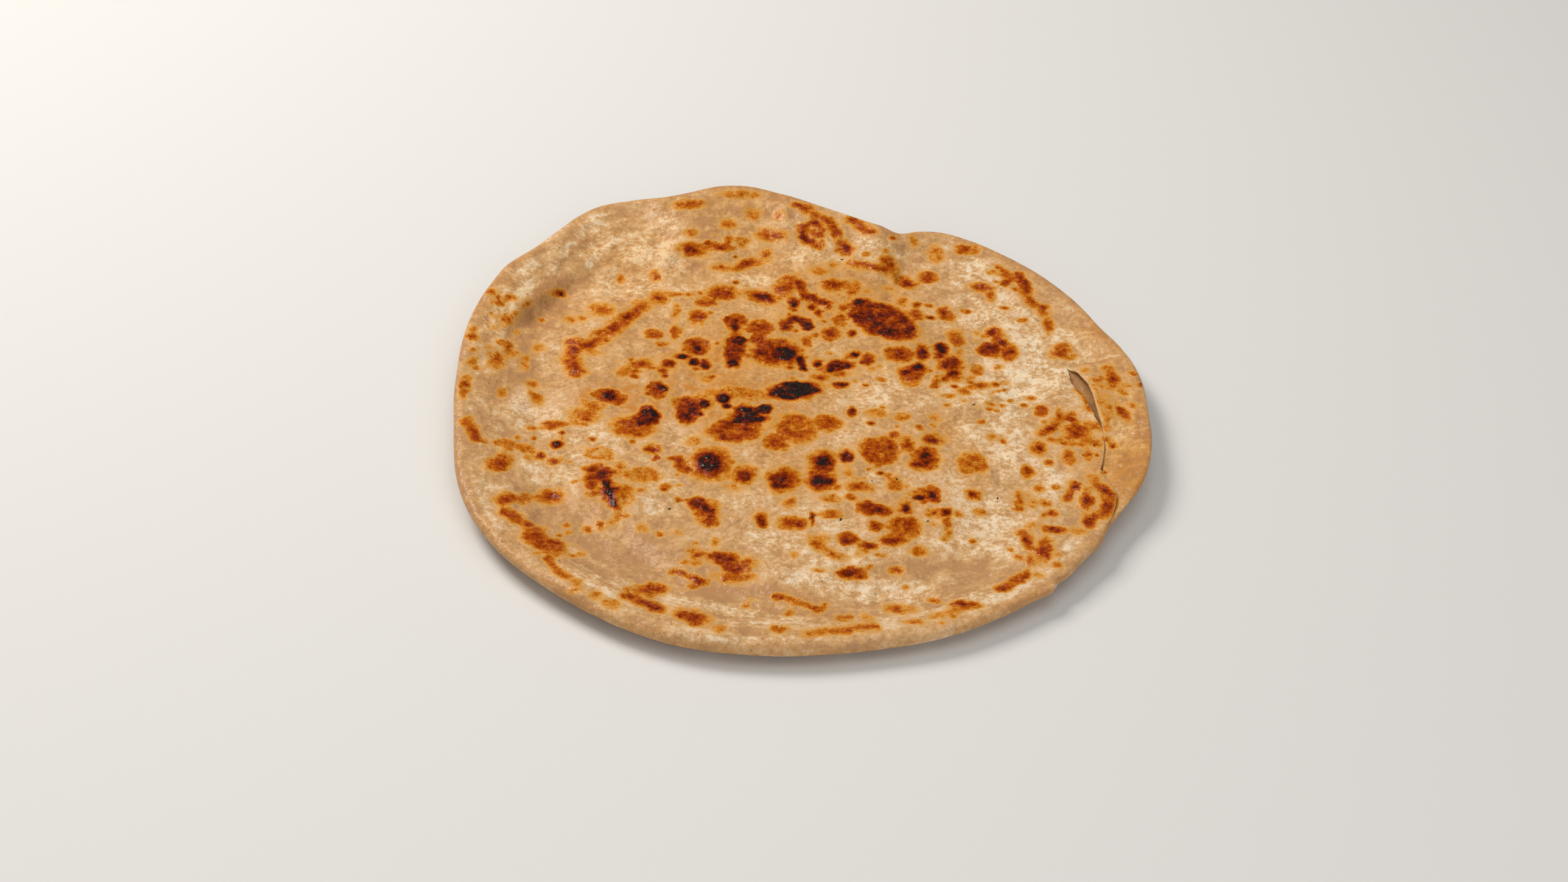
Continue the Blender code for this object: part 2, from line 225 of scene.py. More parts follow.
# The dough's own wrinkles: height, wavelength, seed.
WRINKLES = [(1.2, 26.0, 3), (0.9, 11.0, 5), (0.42, 5.2, 8), (0.18, 2.7, 13)]
SWELLS = [  # x, y, half length, half width, turn in degrees where there is one, height
    (27, 53, 15, 10, -35, 1.2), (-2, -14, 18, 11, 15, .8), (-28, -33, 9, 9, .7), (27, -22, 10, 10, .6),
    (-24, 48, 16, 12, .6), (34, -54, 14, 10, 10, .6), (-52, -45, 10, 16, 20, .6), (60, 28, 14, 12, .6),
    (-62, -2, 14, 12, -.6), (8, 20, 14, 12, -.6), (66, -40, 18, 12, -20, -.5), (-20, -60, 18, 10, -.5),
    (-14, 84, 14, 10, -.6), (58, 66, 14, 12, 30, -.5), (-52, 62, 16, 12, 30, .7), (88, 6, 8, 16, .5),
    (80, -58, 12, 14, 40, .5),
]
# The tear, by angle: how far in from the edge its inner and outer lips lie, and how far the outer side stands
# above (+) or below (-) the inner one. From 16 to -7 degrees it gapes, as GAPE says from 0 to 1. Below that
# the main sheet lies over the outer layer.
TEAR = [
    (-31.5, .7, .7, 0), (-29.3, 1, 1, -.5), (-28, 1.7, 1.7, -.9), (-25.6, 3, 3, -1.2),
    (-24.3, 4.1, 4.1, -1.3), (-23, 5.4, 5.4, -1.3), (-22.1, 6.8, 6.8, -1.2), (-21.1, 8.9, 8.9, -1.1),
    (-20.1, 10.4, 10.4, -1), (-19.1, 12, 12, -1), (-18.2, 12.9, 12.9, -1), (-17.4, 13.7, 13.5, -1),
    (-16.9, 14.6, 13.2, -.9), (-16.3, 14.8, 13.4, -.9), (-15.7, 14.8, 14.6, -.9), (-12, 15, 15, -.8),
    (-8.7, 15.2, 15.1, -.6), (-6.8, 15.3, 15.1, -.2), (-4.7, 15.9, 15.4, .4), (-2.7, 16.8, 15.8, .8),
    (-1.2, 17.3, 16, 1), (1.3, 18.1, 16.4, 1.2), (3.1, 18.9, 16.7, 1.3), (5.7, 19.4, 17.1, 1.3),
    (7.2, 20.2, 17.4, 1.3), (9.3, 21.6, 17.8, 1.2), (11.4, 22.5, 18.2, 1), (13.2, 22, 18.6, .7),
    (14.4, 21.4, 19.3, .4), (15.6, 20.9, 20.4, .1), (16.4, 20.6, 20.6, 0),
]
GAPE = [
    (-31.5, 0), (-7.5, 0), (-5, .6), (-1, 1), (13, 1), (16.4, .3),
]

# Brown marks: x, y, width, height, turn in degrees where there is one, tone (0.3 faint gold, 0.6 orange
# brown, 0.75 brown, 1 nearly black, 1.15 char). Negative tones are pale spots inside marks.
MARKS = [
    # far left
    (-38.3, 117.8, 9, 5, 15, .58), (-42, 117, 5, 4, .45), (-20.5, 126, 16, 6, .34),
    (-15.5, 113.3, 6, 7, .42), (-5.5, 114, 3, 5, .4), (-24, 106.7, 5, 6, .45),
    (-8.3, 100.5, 10, 7, -10, .5), (-37.2, 98.9, 3, 3, .5), (-30, 93.3, 3, 3, .6), (-36, 88.3, 7, 8, .7),
    (-36, 88.3, 12, 10, .35), (-25.6, 90.5, 9, 5, .65), (-18.3, 96, 6, 4, .4), (-16.7, 80.5, 9, 4, 35, .7),
    (-25, 78.3, 5, 4, .45), (-10, 87, 4, 7, .45), (-60, 67.8, 3, 5, .55), (-48.3, 71, 3, 5, .45),
    (-47.2, 69.2, 1.2, 1.2, .7), (-24.4, 62.2, 9, 7, .7), (-30, 56.7, 5, 5, .6),
    (-10.5, 61, 10, 6, -25, .85), (-2.2, 68, 6, 12, -20, .62), (-45.5, 57.8, 4, 5, .65),
    (-40, 60, 6, 2, .45), (-65, 48.5, 6, 5, .6), (-75, 42, 3, 3, .45), (-71.3, 43.3, 2.5, 2.5, .45),
    (-80.5, 57.5, 3.6, 2.6, -25, 1), (-84.8, 41, 1.5, 1.5, .6), (-65.5, 24, 8, 4, .3),
    (-31.7, 47.2, 5, 8, .7), (-38.9, 37.8, 3, 7, .65), (-39.4, 49.4, 3, 8, .4), (-46, 36, 6, 5, .6),
    (-43.3, 30.5, 4, 3, .6), (-18.9, 46, 7, 8, .75), (-18.3, 42.2, 3.5, 4, .95), (-10, 42.8, 9, 9, .7),
    (-10.5, 36, 6, 8, .75), (-31, 30, 9, 9, .75), (-31, 29, 3, 3, 1), (-18.3, 29.4, 7, 18, .74),
    (-17, 34.4, 4, 5, 1.05), (-18.3, 22.2, 4, 6, 1), (-4.4, 28.8, 17, 14, .7), (-1.6, 28.4, 10, 8.5, 1.02),
    (-1.7, 45, 5, 6, .8), (-35.6, 23.9, 4, 3, 1), (-31.7, 21, 4, 4, 1), (-27.8, 20, 4, 5, .95),
    (-40, 19.4, 5, 5, .75), (-41.7, 15.5, 2.5, 2.5, .7), (-48.9, 18.9, 5, 4, .75), (2, 8, 16, 9, 15, 1.15),
    (-43.3, 4.4, 8, 8, .7), (-41, 5.5, 3, 3, .95), (-58, -.5, 12, 7, -15, .8), (-63, -5.5, 9, 5, -30, .5),
    (-58.5, -.3, 6, 4, -10, 1), (-21, 2.2, 5, 5, 1.05), (-83.9, 4.8, 4, 3, -30, .6),
    (-97.2, 17.2, 4, 9, .6), (-94.4, 23.9, 3, 6, .5), (-105.6, 15, 3, 5, .5), (-106, 3.9, 3, 9, .55),
    (-96, 43.3, 5, 3, 20, .42), (-90.5, 50, 2, 5, -25, .38), (-102.8, 50.6, 4, 4, .35),
    (-107, 34, 3, 4, .4), (-87.8, 16, 3, 8, .45), (-84.4, 25, 4, 3, 40, .45),
    # far right
    (35.5, 102, 1.5, 1.5, .6), (18, 94.4, 5, 8, 10, .8), (26, 90.8, 1.5, 1.5, .5), (32.8, 93.3, 2, 3, .5),
    (9.4, 78.9, 6, 5, .4), (14.4, 83.3, 5, 4, .35), (15, 70.5, 7, 6, .65), (21, 69.4, 6, 8, .4),
    (33.3, 69.7, 6, 4, .3), (.5, 58.3, 3.5, 7, .85), (31.7, 50.5, 28, 17, -38, .78), (24, 60, 6, 5, .85),
    (29, 48, 7, 6, .87), (41, 46, 5, 5, .85), (36, 49, 6, 5, -38, -.12), (38.3, 62.2, 2.5, 3.5, .55),
    (43.3, 61, 3, 3.5, .65), (43, 55, 4, 5, .7), (39.7, 74.4, 6, 4, -50, .75), (47.2, 77.8, 7, 6, .7),
    (50.6, 93.3, 6, 10, .4), (42.8, 101, 3, 9, .4), (60.5, 96.7, 5, 6, .75), (65, 96.7, 4, 7, .4),
    (66.3, 73.3, 6, 4.5, .7), (69.4, 68.9, 2.5, 5, .65), (53.3, 56, 5, 8, 20, .7), (60.5, 58.3, 3, 2.5, .6),
    (88.9, 52.8, 3, 9, .6), (92.5, 37.5, 6, 8, -25, .62), (95.5, 34.5, 4, 4, .5), (80, 54.4, 3, 3, .45),
    (68.3, 36, 9, 8, .78), (74.4, 35.5, 6, 8, .75), (56.7, 41.7, 5, 8, .65), (57.8, 33.9, 3, 5, .4),
    (64, 45.5, 3, 4, .3), (63.3, 24.4, 4, 6, .5), (64.4, 15.5, 5, 3.5, .55), (72, 17.8, 2.5, 2.5, .35),
    (58.5, 11.9, 3, 3, .6), (54.4, 27, 8, 9, .82), (55.5, 21.7, 5, 6, .8), (45, 32.8, 4, 8, .85),
    (37.2, 31, 9, 9, .65), (37.2, 31, 4, 4, .85), (26.7, 27.2, 4.5, 7, .8), (22.2, 29.8, 2.5, 2.5, 1),
    (17.2, 22.8, 9, 6, 20, .95), (18.3, 23.9, 3, 2.5, 1.1), (14.4, 20.6, 2.5, 2.5, 1.1),
    (10, 23.3, 2.5, 4, .95), (10.5, 15.5, 4, 3, .7), (17.5, 12, 4.5, 4, .9), (40.5, 20.5, 7, 8, .7),
    (39.4, 21, 4, 4, .98), (41, 15.5, 6, 4, .45), (44, 24.4, 4, 4.5, .9), (6, 36, 3, 6, .55),
    (13.9, 41, 6, 7, .65), (21, 42, 2.5, 3, .7), (17.2, 49.4, 4, 7, .5), (7.2, 56.7, 3, 4, .7),
    (9.4, 53.9, 1.5, 5, .65), (84, 3.3, 3.5, 6, -20, .7), (90, 1.7, 2.5, 5, .7), (94, 1.5, 3, 4, .5),
    (111, 4.5, 3, 9, 20, .6), (100, 27, 4, 4, .35), (118, 20.5, 1.5, 1.5, .6), (116, 27, 3, 2, .4),
    (104, 22, 4, 3, .4),
    # near left
    (-105.5, -1.7, 3, 6, .55), (-82.2, -2.8, 3, 6, 25, .55), (-93.3, -1, 2.5, 4, .5),
    (-82.8, -30, 5, 4, .6), (-77, -33, 2, 3.5, .8), (-73, -35.5, 4, 3, .6), (-73, -26.7, 3.5, 3.5, .9),
    (-74.7, -16.9, 7, 5, 10, .65), (-89.8, -37.2, 8, 8, .7), (-85.5, -55.5, 6, 5, .7),
    (-80.5, -55.5, 4, 6, .55), (-72.8, -53.5, 6, 5, .8), (-72.2, -75.5, 16, 8, -35, .62),
    (-75.5, -70, 5, 3, .6), (-55.5, -65.8, 3, 3, .65), (-37.2, -68.9, 1.8, 1.8, .55),
    (-42.8, -66.7, 3.5, 3.5, .4), (-31.7, -67.8, 3, 3, .35), (-52, -64, 2, 2, .4),
    (-51.7, -36.7, 2.5, 2.5, .55), (-58.3, -41, 8, 9, .85), (-59.4, -46.7, 4, 6, .7),
    (-54.4, -49, 7, 9, .8), (-50, -50, 6, 8, .5), (-59.5, -51, 5, 4, .5), (-50.5, -61, 2, 5, .5),
    (-48.3, -61, 2, 2, .45), (-58.9, -30.2, 8, 6, .5), (-58.9, -30.2, 4, 2.5, -.5), (-42, -27, 4, 4, .7),
    (-48.9, -23.9, 1.8, 1.8, .55), (-35.9, -31.7, 2, 2, .65), (-45.5, -40.5, 14, 8, .4),
    (-23.5, -33.3, 12, 15, .66), (-23.5, -32.8, 9.5, 12, .95), (-12.4, -37.8, 8, 9, .5),
    (-12.4, -37.8, 6, 6, .95), (-15.5, -44.4, 6, 4, .35), (-28.9, -21.7, 4, 4, .4), (-26, -53.3, 6, 6, .92),
    (-23.3, -56.7, 6, 8, .82), (-22.2, -62.2, 5, 5, .6), (-6, -60, 3.5, 6, 15, .85), (-20, -72, 3, 4, .4),
    (-24.4, -77.8, 4, 3.5, .85), (-17, -79, 9, 5, -10, .8), (-12.5, -83.5, 7, 7, .8), (-8.9, -80, 4, 3, .5),
    (-13.5, -87.5, 9, 4, .6), (-37.8, -95, 8, 4, .65), (-49, -102, 6, 4, .45), (-54.4, -98.9, 3, 3, .4),
    (-16.7, -111, 4, 3, .36), (-44.4, -9.4, 6, 10, 15, 1), (-47.2, -12.8, 5, 6, .95),
    (-49, -15.5, 13, 10, .6), (-65.5, -11, 9, 7, .45), (-32.2, -5.5, 8, 14, .84), (-30.5, -1.5, 12, 6, .7),
    (-27.2, -1.7, 4, 4, 1.05), (-27.8, -6.9, 2, 2, .95), (-19.5, -2, 2.5, 2.5, 1),
    (-16, -14.5, 17, 13, 25, .64), (-12.6, -6.6, 10, 10, 1), (-8.8, -8.2, 5, 4, 20, 1.12),
    # The last mark on the next line, at 102.4, -28, is painted shade: a dark dot in the tear's small hole.
    (-14.5, -4, 5, 4, 1.1), (-16, -9.5, 4, 3, 1), (-7, -3, 5, 5, 1.05), (102.4, -28, .8, .8, .7),
    # near right
    (3.5, -12.5, 12, 14, .6), (-2.5, -20, 9, 9, .62), (4, -11, 6, 6, -.25), (13.9, -8.9, 8, 9, .62),
    (21.7, -2.8, 2.5, 5, .85), (38.3, -3.9, 5, 4, .4), (30, -2.8, 8, 5, .35), (31, -22.2, 13, 14, .68),
    (30.5, -21.5, 6, 7, -.15), (35.3, -13.5, 3, 3, .55), (39.4, -17.8, 4, 6, .65),
    (47.8, -15, 5.5, 5, -20, .82), (45.6, -24.8, 8, 10.5, .75), (45.6, -23.3, 5, 4.5, .9),
    (43.9, -28.3, 5, 4, .92), (20, -26.7, 4, 7, .95), (12.8, -29.4, 8.5, 10, .75), (12.8, -29.4, 6.5, 8, 1),
    (11.9, -38.9, 9, 10, .75), (11.9, -38.9, 7, 8, .96), (20.8, -34.2, 3.5, 3.5, .45),
    (24.4, -41.3, 6.5, 4, .65), (0, -39.5, 9, 11, .7), (-1.5, -39.5, 6, 9, -15, .92),
    (2.2, -50.5, 3, 4, .55), (15, -47.8, 6, 4, .45), (60.5, -26.7, 9, 11, .5), (49, -3, 4, 4, .4),
    (63.9, -4.4, 2, 2, .6), (66.7, -12, 1.5, 1.5, .5), (70.5, -13.9, 2.5, 2.5, .6), (82.2, -16.9, 4, 5, .8),
    (77.8, -29.4, 4, 6, .6), (95, -6.9, 7, 7, .72), (94.4, -12, 13, 6, .42), (91.7, -21, 3, 6, .6),
    (97.8, -19, 3, 7, .5), (96.4, -42.8, 3.5, 9, -10, .75), (85, -57.8, 8, 3, .82), (92.8, -57.8, 5, 3, .4),
    (75, -43.9, 2.5, 6, .6), (74, -48.5, 3, 2, .6), (82.4, -51, 4, 2, 45, .45),
    (60.5, -42.5, 2.8, 3.4, .85), (62.2, -51, 4, 4, .45), (51.4, -51.4, 3.4, 3.6, .85),
    (51.7, -58.3, 2.5, 8, .65), (47.8, -52.2, 6, 5, .45), (47.2, -42.8, 5, 8, .7),
    (47.2, -43.2, 2.5, 4, .95), (43.3, -45, 3, 3, 1), (44.4, -42, 8, 4, .5), (35.5, -38.9, 5, 6, .5),
    (38.7, -50.2, 2.8, 5.5, .95), (29, -52, 10, 6.5, -10, .85), (28.6, -52, 5, 3, .98),
    (29.4, -60.5, 4, 5, .7), (38.3, -60, 10, 10, .66), (16, -55.5, 7, 5, .45), (3.4, -60.8, 8, 5.5, .8),
    (21, -66.7, 5.5, 5, .78), (27.2, -69.7, 6, 3.2, .75), (34.4, -66.7, 6.5, 4, .72),
    (42.8, -71, 6, 4, .55), (11.7, -67.8, 7, 5, .4), (5, -75.5, 2.5, 2.5, .35), (22.2, -83.3, 9, 5.5, .8),
    (35.8, -81, 3, 3, .75), (38.3, -88.3, 1.5, 1.5, .4), (12.2, -82.2, 4, 2, .4), (47.8, -93.7, 3, 2, .55),
    (56, -95, 8, 3, .72), (36, -98.3, 7, 3, .6), (20, -103.5, 4, 2.5, .55), (41, -104, 5, 2, .5),
    (1, -110, 5, 3, .6), (60, -65.5, 2, 2, .5), (75.5, -60.5, 3, 3, .6), (76.6, -63.6, 3, 6.5, .78),
    (81.6, -67.8, 4.4, 9, -12, .72), (77, -73, 2.5, 8, .5), (79.4, -79.8, 3, 2, .4),
]
STREAKS = [  # tone, width, line of points
    (.4, 6, [(-27, 3), (-16, 5.5), (-7, 4.5)]), (1.15, 3.6, [(-15, -8.5), (-11.5, -5.5), (-9.5, -3.5)]),
    (.65, 4.2, [(-51.7, 52.2), (-56.7, 43.9), (-62.2, 35), (-67.8, 28.3), (-72.2, 28.3), (-72.8, 19.4),
                (-70, 12.8)]),
    (.45, 3, [(-55.5, 12.8), (-49, 18)]), (.7, 4, [(7, 110), (3.5, 107), (3, 101), (5, 97), (8.5, 95)]),
    (.7, 2.5, [(7, 110), (9.5, 106), (9, 102), (6.5, 104)]),
    (.6, 4, [(1.1, 120.5), (7.8, 115), (13.3, 108.3), (15, 102.8)]), (.6, 4, [(21, 112), (27, 105.5)]),
    (.6, 3.5, [(22, 84.5), (28, 83), (34, 81)]), (.6, 4, [(33, 88), (34.5, 80)]),
    (.65, 4, [(2.2, 71.7), (4.4, 62.8), (12, 59.4)]), (.62, 3.2, [(73.3, 86.7), (76.7, 80.5), (75, 76)]),
    (.65, 4, [(79.4, 81.7), (82.2, 76), (81.7, 70.5), (83.9, 65)]), (.6, 3.2, [(87.2, 62.8), (87.8, 58.3)]),
    (.75, 4, [(70, 47), (72.8, 39.5)]), (.75, 4, [(51.7, 36), (51, 30)]), (.65, 3, [(50, 19.4), (49, 14)]),
    (.9, 1.5, [(3.9, 27.2), (5.5, 20)]), (.85, 4, [(-1, 46), (1, 49), (4.5, 48.5), (6, 44.5)]),
    (.5, 3, [(107.8, 28.9), (108.9, 25), (109.4, 18.3)]), (.6, 3.2, [(-103, -17), (-98.5, -26)]),
    (.5, 4, [(-90.5, -27), (-81, -30.5)]), (.6, 2.5, [(-86, -61.7), (-78.3, -67.2)]),
    (.5, 2.5, [(-70, -83.3), (-66.7, -88.9), (-60, -93.3)]),
    (1, 3, [(-55, -44.5), (-54.4, -50), (-52.2, -56.5)]), (.65, 2.5, [(-34, -31.5), (-30.5, -37)]),
    (.6, 1.5, [(-31.7, -51), (-27, -52)]), (.72, 2.4, [(-31.5, -86.4), (-21.5, -90.3)]),
    (.72, 3.4, [(-45, -98.3), (-35, -102.8)]), (.76, 4.6, [(-27.5, -105.2), (-22, -107.2)]),
    (.65, 2.2, [(90, 0), (84.5, -9)]), (.75, 2.2, [(93.3, -35.5), (89.8, -42.5)]),
    (.62, 3.8, [(98.9, -32), (102.8, -37.8), (103.5, -41), (101.7, -47.8), (97.8, -51), (95.5, -54.5)]),
    (.5, 3, [(10.5, -70), (19.4, -76)]), (.45, 3, [(47, -101), (57, -96)]),
    (.72, 2.4, [(0, -95.5), (6.7, -97.8), (11.7, -100.5)]), (.5, 1.8, [(9.4, -111), (29.4, -107)]),
    (.62, 3.2, [(67.8, -87.2), (75.5, -79.4)]), (.5, 1.9, [(97.2, 16), (99.5, 11.5), (100.7, 5.5)]),
    (.45, 2.4, [(99, -3), (102.6, -5)]), (.36, .7, [(102.6, 18.9), (104, 10.5), (105.2, 2.2), (106, -5)]),
    (.32, .5, [(104.4, 19), (106, 11), (107, 3)]), (.7, .1, [(10.1, -55.6), (10.5, -58.2), (9.6, -61.2)]),
]

# In the next tables of patches a row is x, y, width, height, turn where there is one, strength.
# Pale patches (+) are dry flour, and on some ridges painted highlight where they face the light.
# Dark patches (-) are moist translucent dough, and on walls, in valleys and troughs painted shade.
PATCHES = [
    (-64.4, 88.3, 8, 14, .6), (-57.8, 86, 10, 12, .8), (-46.7, 81.7, 12, 14, .7), (-40, 92.8, 8, 9, .9),
    (-46.7, 105, 8, 10, .7), (-51, 64, 14, 9, .6), (-69, 66, 8, 10, .4), (-83.3, 26, 7, 20, 15, .8),
    (-93.3, 71.7, 5, 5, .9), (-94.4, 49.4, 7, 9, .7), (-101, 28, 11, 26, .6), (-66.7, 33, 7, 9, .5),
    (-49, 11.7, 6, 6, .9), (-20, 71.7, 8, 6, .7), (-11, 69, 9, 7, .7), (-75, 82, 9, 14, -20, .3),
    (-56, 104, 18, 12, -20, -.2), (-92, 70, 16, 26, -30, -.1), (-78, 60, 10, 26, -25, -.9),
    (-88, 38, 8, 20, -10, -.8), (-34, 109, 16, 12, -.4), (-20, 120, 26, 12, -.6), (-62, 20, 16, 24, -.2),
    (-40, 72, 12, 9, -.2), (-30, 74, 14, 12, -.5), (-5, 80, 12, 8, -.4), (-95, 12, 12, 16, -.5),
    (22, 97, 12, 14, .9), (33, 91.7, 9, 9, .6), (8.9, 96, 10, 8, .6), (6, 88, 12, 8, .7),
    (44, 75, 10, 10, .5), (62, 86, 14, 10, .8), (72, 80.5, 8, 12, .8), (75.5, 64, 20, 26, .7),
    (80, 47, 16, 14, .8), (82, 29.4, 20, 24, 1), (71, 25, 14, 14, .8), (66.7, 13, 18, 10, .9),
    (33, 14, 18, 10, .6), (22, 7.5, 26, 9, 1), (62, 54, 12, 10, .5), (72, 96, 20, 8, -35, -.8),
    (92, 74, 14, 24, 35, -.8), (101, 52, 12, 18, 20, -.2), (54, 84, 8, 14, -.5), (40, 86, 7, 18, -.4),
    (17, 79, 18, 10, -.6), (33, 67, 16, 8, -.7), (15.5, 58, 14, 16, -.3), (48, 40, 14, 14, -.5),
    (28, 34, 10, 8, -.4), (52, 66, 10, 12, -.3), (108, 0, 14, 30, .1), (113, -6, 10, 20, .6),
    (112, -22, 12, 24, -.5), (-106.7, -33, 14, 34, 15, -.1), (-81, -14.4, 11, 13, 1),
    (-83.3, -5, 11, 12, .9), (-95.5, -8, 16, 14, -.1), (-90, -21, 22, 7, -25, -.8), (-70, -39, 18, 12, 1),
    (-62, -22, 16, 12, .7), (-83, -46.7, 16, 12, -.5), (-45, -46, 18, 12, .3),
    (-66.7, -64, 20, 20, -30, -.9), (-50, -75, 30, 13, -42, -.9), (-30, -88, 30, 9, -15, -.5),
    (-62, -80, 16, 8, -40, .5), (-38, -81, 24, 6, -32, 1), (-54.4, -96, 14, 7, -30, .7),
    (-8, -94, 34, 8, -5, -.6), (-14, -103, 22, 7, .9), (-29, -68, 22, 14, -.4), (-11, -50, 10, 10, .3),
    (-36, -14, 10, 10, .4), (-40, -60, 16, 12, .2), (-3, -66, 12, 8, .4), (-30, -24, 12, 10, .5),
    (-8, -26, 10, 10, .3), (20, -17, 10, 10, .9), (6.7, -22, 10, 10, .7), (52, -36.7, 12, 14, .9),
    (62, -49, 18, 11, 1), (69, -56, 18, 12, .9), (58, -66.7, 11, 9, 1.2), (71, -69, 14, 10, .7),
    (62, -78, 28, 13, 15, -.5), (86.7, -36.7, 10, 10, 1), (71, -20, 15, 20, .9), (74, -42, 14, 12, -.5),
    (92, -49, 9, 12, -.7), (88, -69, 12, 14, 30, .2), (47, -80, 24, 10, -.5), (44, -88, 18, 7, .6),
    (11, -84, 18, 8, .8), (27, -91, 20, 8, .9), (6, -93, 18, 5, -10, -.5), (62, -92, 16, 5, 30, .8),
    (24, -75, 12, 6, .6), (53, -9, 9, 9, -.3), (30, -37, 12, 8, .6), (9, -55, 12, 8, .6),
    (52, -66, 10, 14, .2), (22, -61, 12, 10, .9), (-90, -69, 10, 18, -40, .3), (9, 27, 16, 20, .4),
    (9, -72, 14, 12, .7), (27, -90, 14, 8, .4), (-9, -90, 14, 8, .5), (81, 36, 14, 14, .4),
    (81, 18, 14, 14, .5), (-99, 27, 12, 20, .4), (86, -10, 12, 14, -.2), (60, -8, 12, 8, .5),
    (94, -26, 8, 12, -.5), (34, -76, 14, 7, .3),
]
# The pale lines are partly dough stretched dry and partly painted highlight on ridge sides that face the
# light.
# Thin lines, pale ones (+) and painted shade in creases (-): strength, width, line of points.
CREASES = [
    (1.5, 1.2, [(-109, 41), (-103, 41), (-98, 37.5)]), (-1, 1, [(-110, 39.3), (-103, 39.3), (-98, 36)]),
    (.9, 4, [(-79, 64.5), (-74, 73), (-68, 83)]), (1.6, 3.4, [(-98.5, 37), (-94, 50), (-90, 61)]),
    (-1.2, 1.4, [(-79, 62), (-72, 67), (-68, 77)]), (-.9, 1.2, [(-82, 71), (-75, 79)]),
    (.8, 1, [(64, 68), (66.5, 60), (67.5, 52), (68.5, 46)]), (-.7, 1, [(65.5, 67), (68, 60), (69, 53)]),
    (-.8, .9, [(91, 48), (95, 42), (98, 38)]), (.9, 1, [(95, 31), (103, 33), (112, 37)]),
    (-.8, 1.2, [(96, 29.5), (104, 31.5), (112, 35)]), (1, 2.2, [(-37, -96.5), (-28, -99.5), (-18, -101.5)]),
    (.9, 2, [(-36, -84), (-28, -86), (-20, -89.5)]), (.8, 1, [(-5, 64), (-1, 58), (2.5, 52)]),
    (.9, 1.4, [(95, -61), (101, -53), (104.5, -45), (104, -38)]),
    (1, 2, [(56, -93.5), (68, -90), (76, -84)]), (.8, 2.4, [(-46, 88), (-46, 79)]),
    (.9, 2, [(-45, 93), (-38, 96)]),
    (1.2, 2.6, [(-37, -113.5), (-24, -115.5), (-10, -115.5), (4, -115), (14, -113)]),
    (-.7, 1.2, [(70, -60), (80, -56), (88, -50)]), (-.6, 1.4, [(44, 88), (52, 85), (58, 86), (57, 92)]),
    (-.8, 1.4, [(-58, 117), (-52, 114), (-46, 114.5)]), (-.6, 1.2, [(-56, 111), (-55, 104)]),
    (-.8, 1, [(76, -90.5), (84, -86.5)]), (.7, 1.2, [(77, -88), (84, -84.5)]),
    (-.7, 1.6, [(8, -94), (16, -97), (24, -97.5)]), (-.6, 1.4, [(-8, -92), (4, -95)]),
    (-.7, 1.2, [(-100, 26), (-97, 19), (-92, 15)]), (-.6, 1.2, [(-78, 8), (-80, 1), (-74, -6)]),
    (.7, 1.6, [(-66, -48), (-60, -60), (-52, -70)]), (.6, 1.6, [(-98, -52), (-86, -50), (-78, -46)]),
]
# Walls, fold sides and trough slopes that face away from the light are darkened in the dough's colour.
# Painted shade on the left of a line: strength, softness of the line, how far the shade reaches, the line.
SHADES = [
    (2.2, .9, 11, [(-84, 66), (-87.7, 60), (-91.8, 49.3), (-96.4, 38), (-94, 28), (-94.8, 14)]),
    (.9, 2, 9, [(-84, 10), (-92, 9), (-104, 8)]),
    (1.3, 1.5, 10, [(-82, -58), (-74, -66), (-64, -75), (-52, -83), (-38, -90), (-22, -96)]),
    (.7, 1.5, 6, [(-52, -68), (-45, -76), (-36, -80)]),
    (1, 1.2, 6, [(-26, -97), (-12, -101), (4, -104), (16, -104)]),
    (.45, 1.5, 11, [(36, -85), (50, -89), (62, -89), (74, -81), (80, -72)]),
    (.9, 1.5, 9, [(70, 88), (78, 80), (84, 73), (88, 64)]), (.9, 1, 7, [(35, 99), (38, 92), (37, 84)]),
    (.7, 1.2, 8, [(92, 36), (88, 46), (82, 56)]),
    (.6, 1.2, 7, [(-28, -34), (-34, -40), (-31, -46), (-20, -48)]),
]
# Fields of small golden freckles.
FRECKLES = [
    (-100, 27, 15, 26, .9), (-97, 50, 18, 20, .5), (-72, -22, 18, 26, .7), (-86, -30, 22, 10, -20, .7),
    (-45, -40.5, 26, 15, .8), (66, 10, 30, 16, .9), (22, -44, 18, 10, .6), (45, -40, 12, 8, .7),
    (16, 63, 20, 18, .8), (8, 48, 18, 16, .8), (-40, 17, 34, 14, .7), (94, -10, 18, 26, .8),
    (30, -35, 24, 10, .6), (27, -72, 30, 14, .6), (-28, 92, 20, 16, .6), (-25, 60, 22, 18, .6),
    (-66, -74, 30, 12, -35, .7), (-56, -46, 18, 26, .5), (78, -60, 16, 34, .6), (15, 20, 30, 18, .6),
    (60, 30, 26, 26, .5), (36, -15, 22, 30, .4), (5, 110, 20, 24, .3), (78, 76, 16, 30, 20, .5),
    (-50, -100, 26, 8, -30, .6), (20, -100, 60, 10, .5), (108, 10, 12, 44, .5), (-20, -82, 20, 18, .6),
    (-10, 30, 30, 26, .5), (44, 60, 20, 14, .4), (88, -40, 20, 26, .5), (48, -57, 18, 18, .5),
]
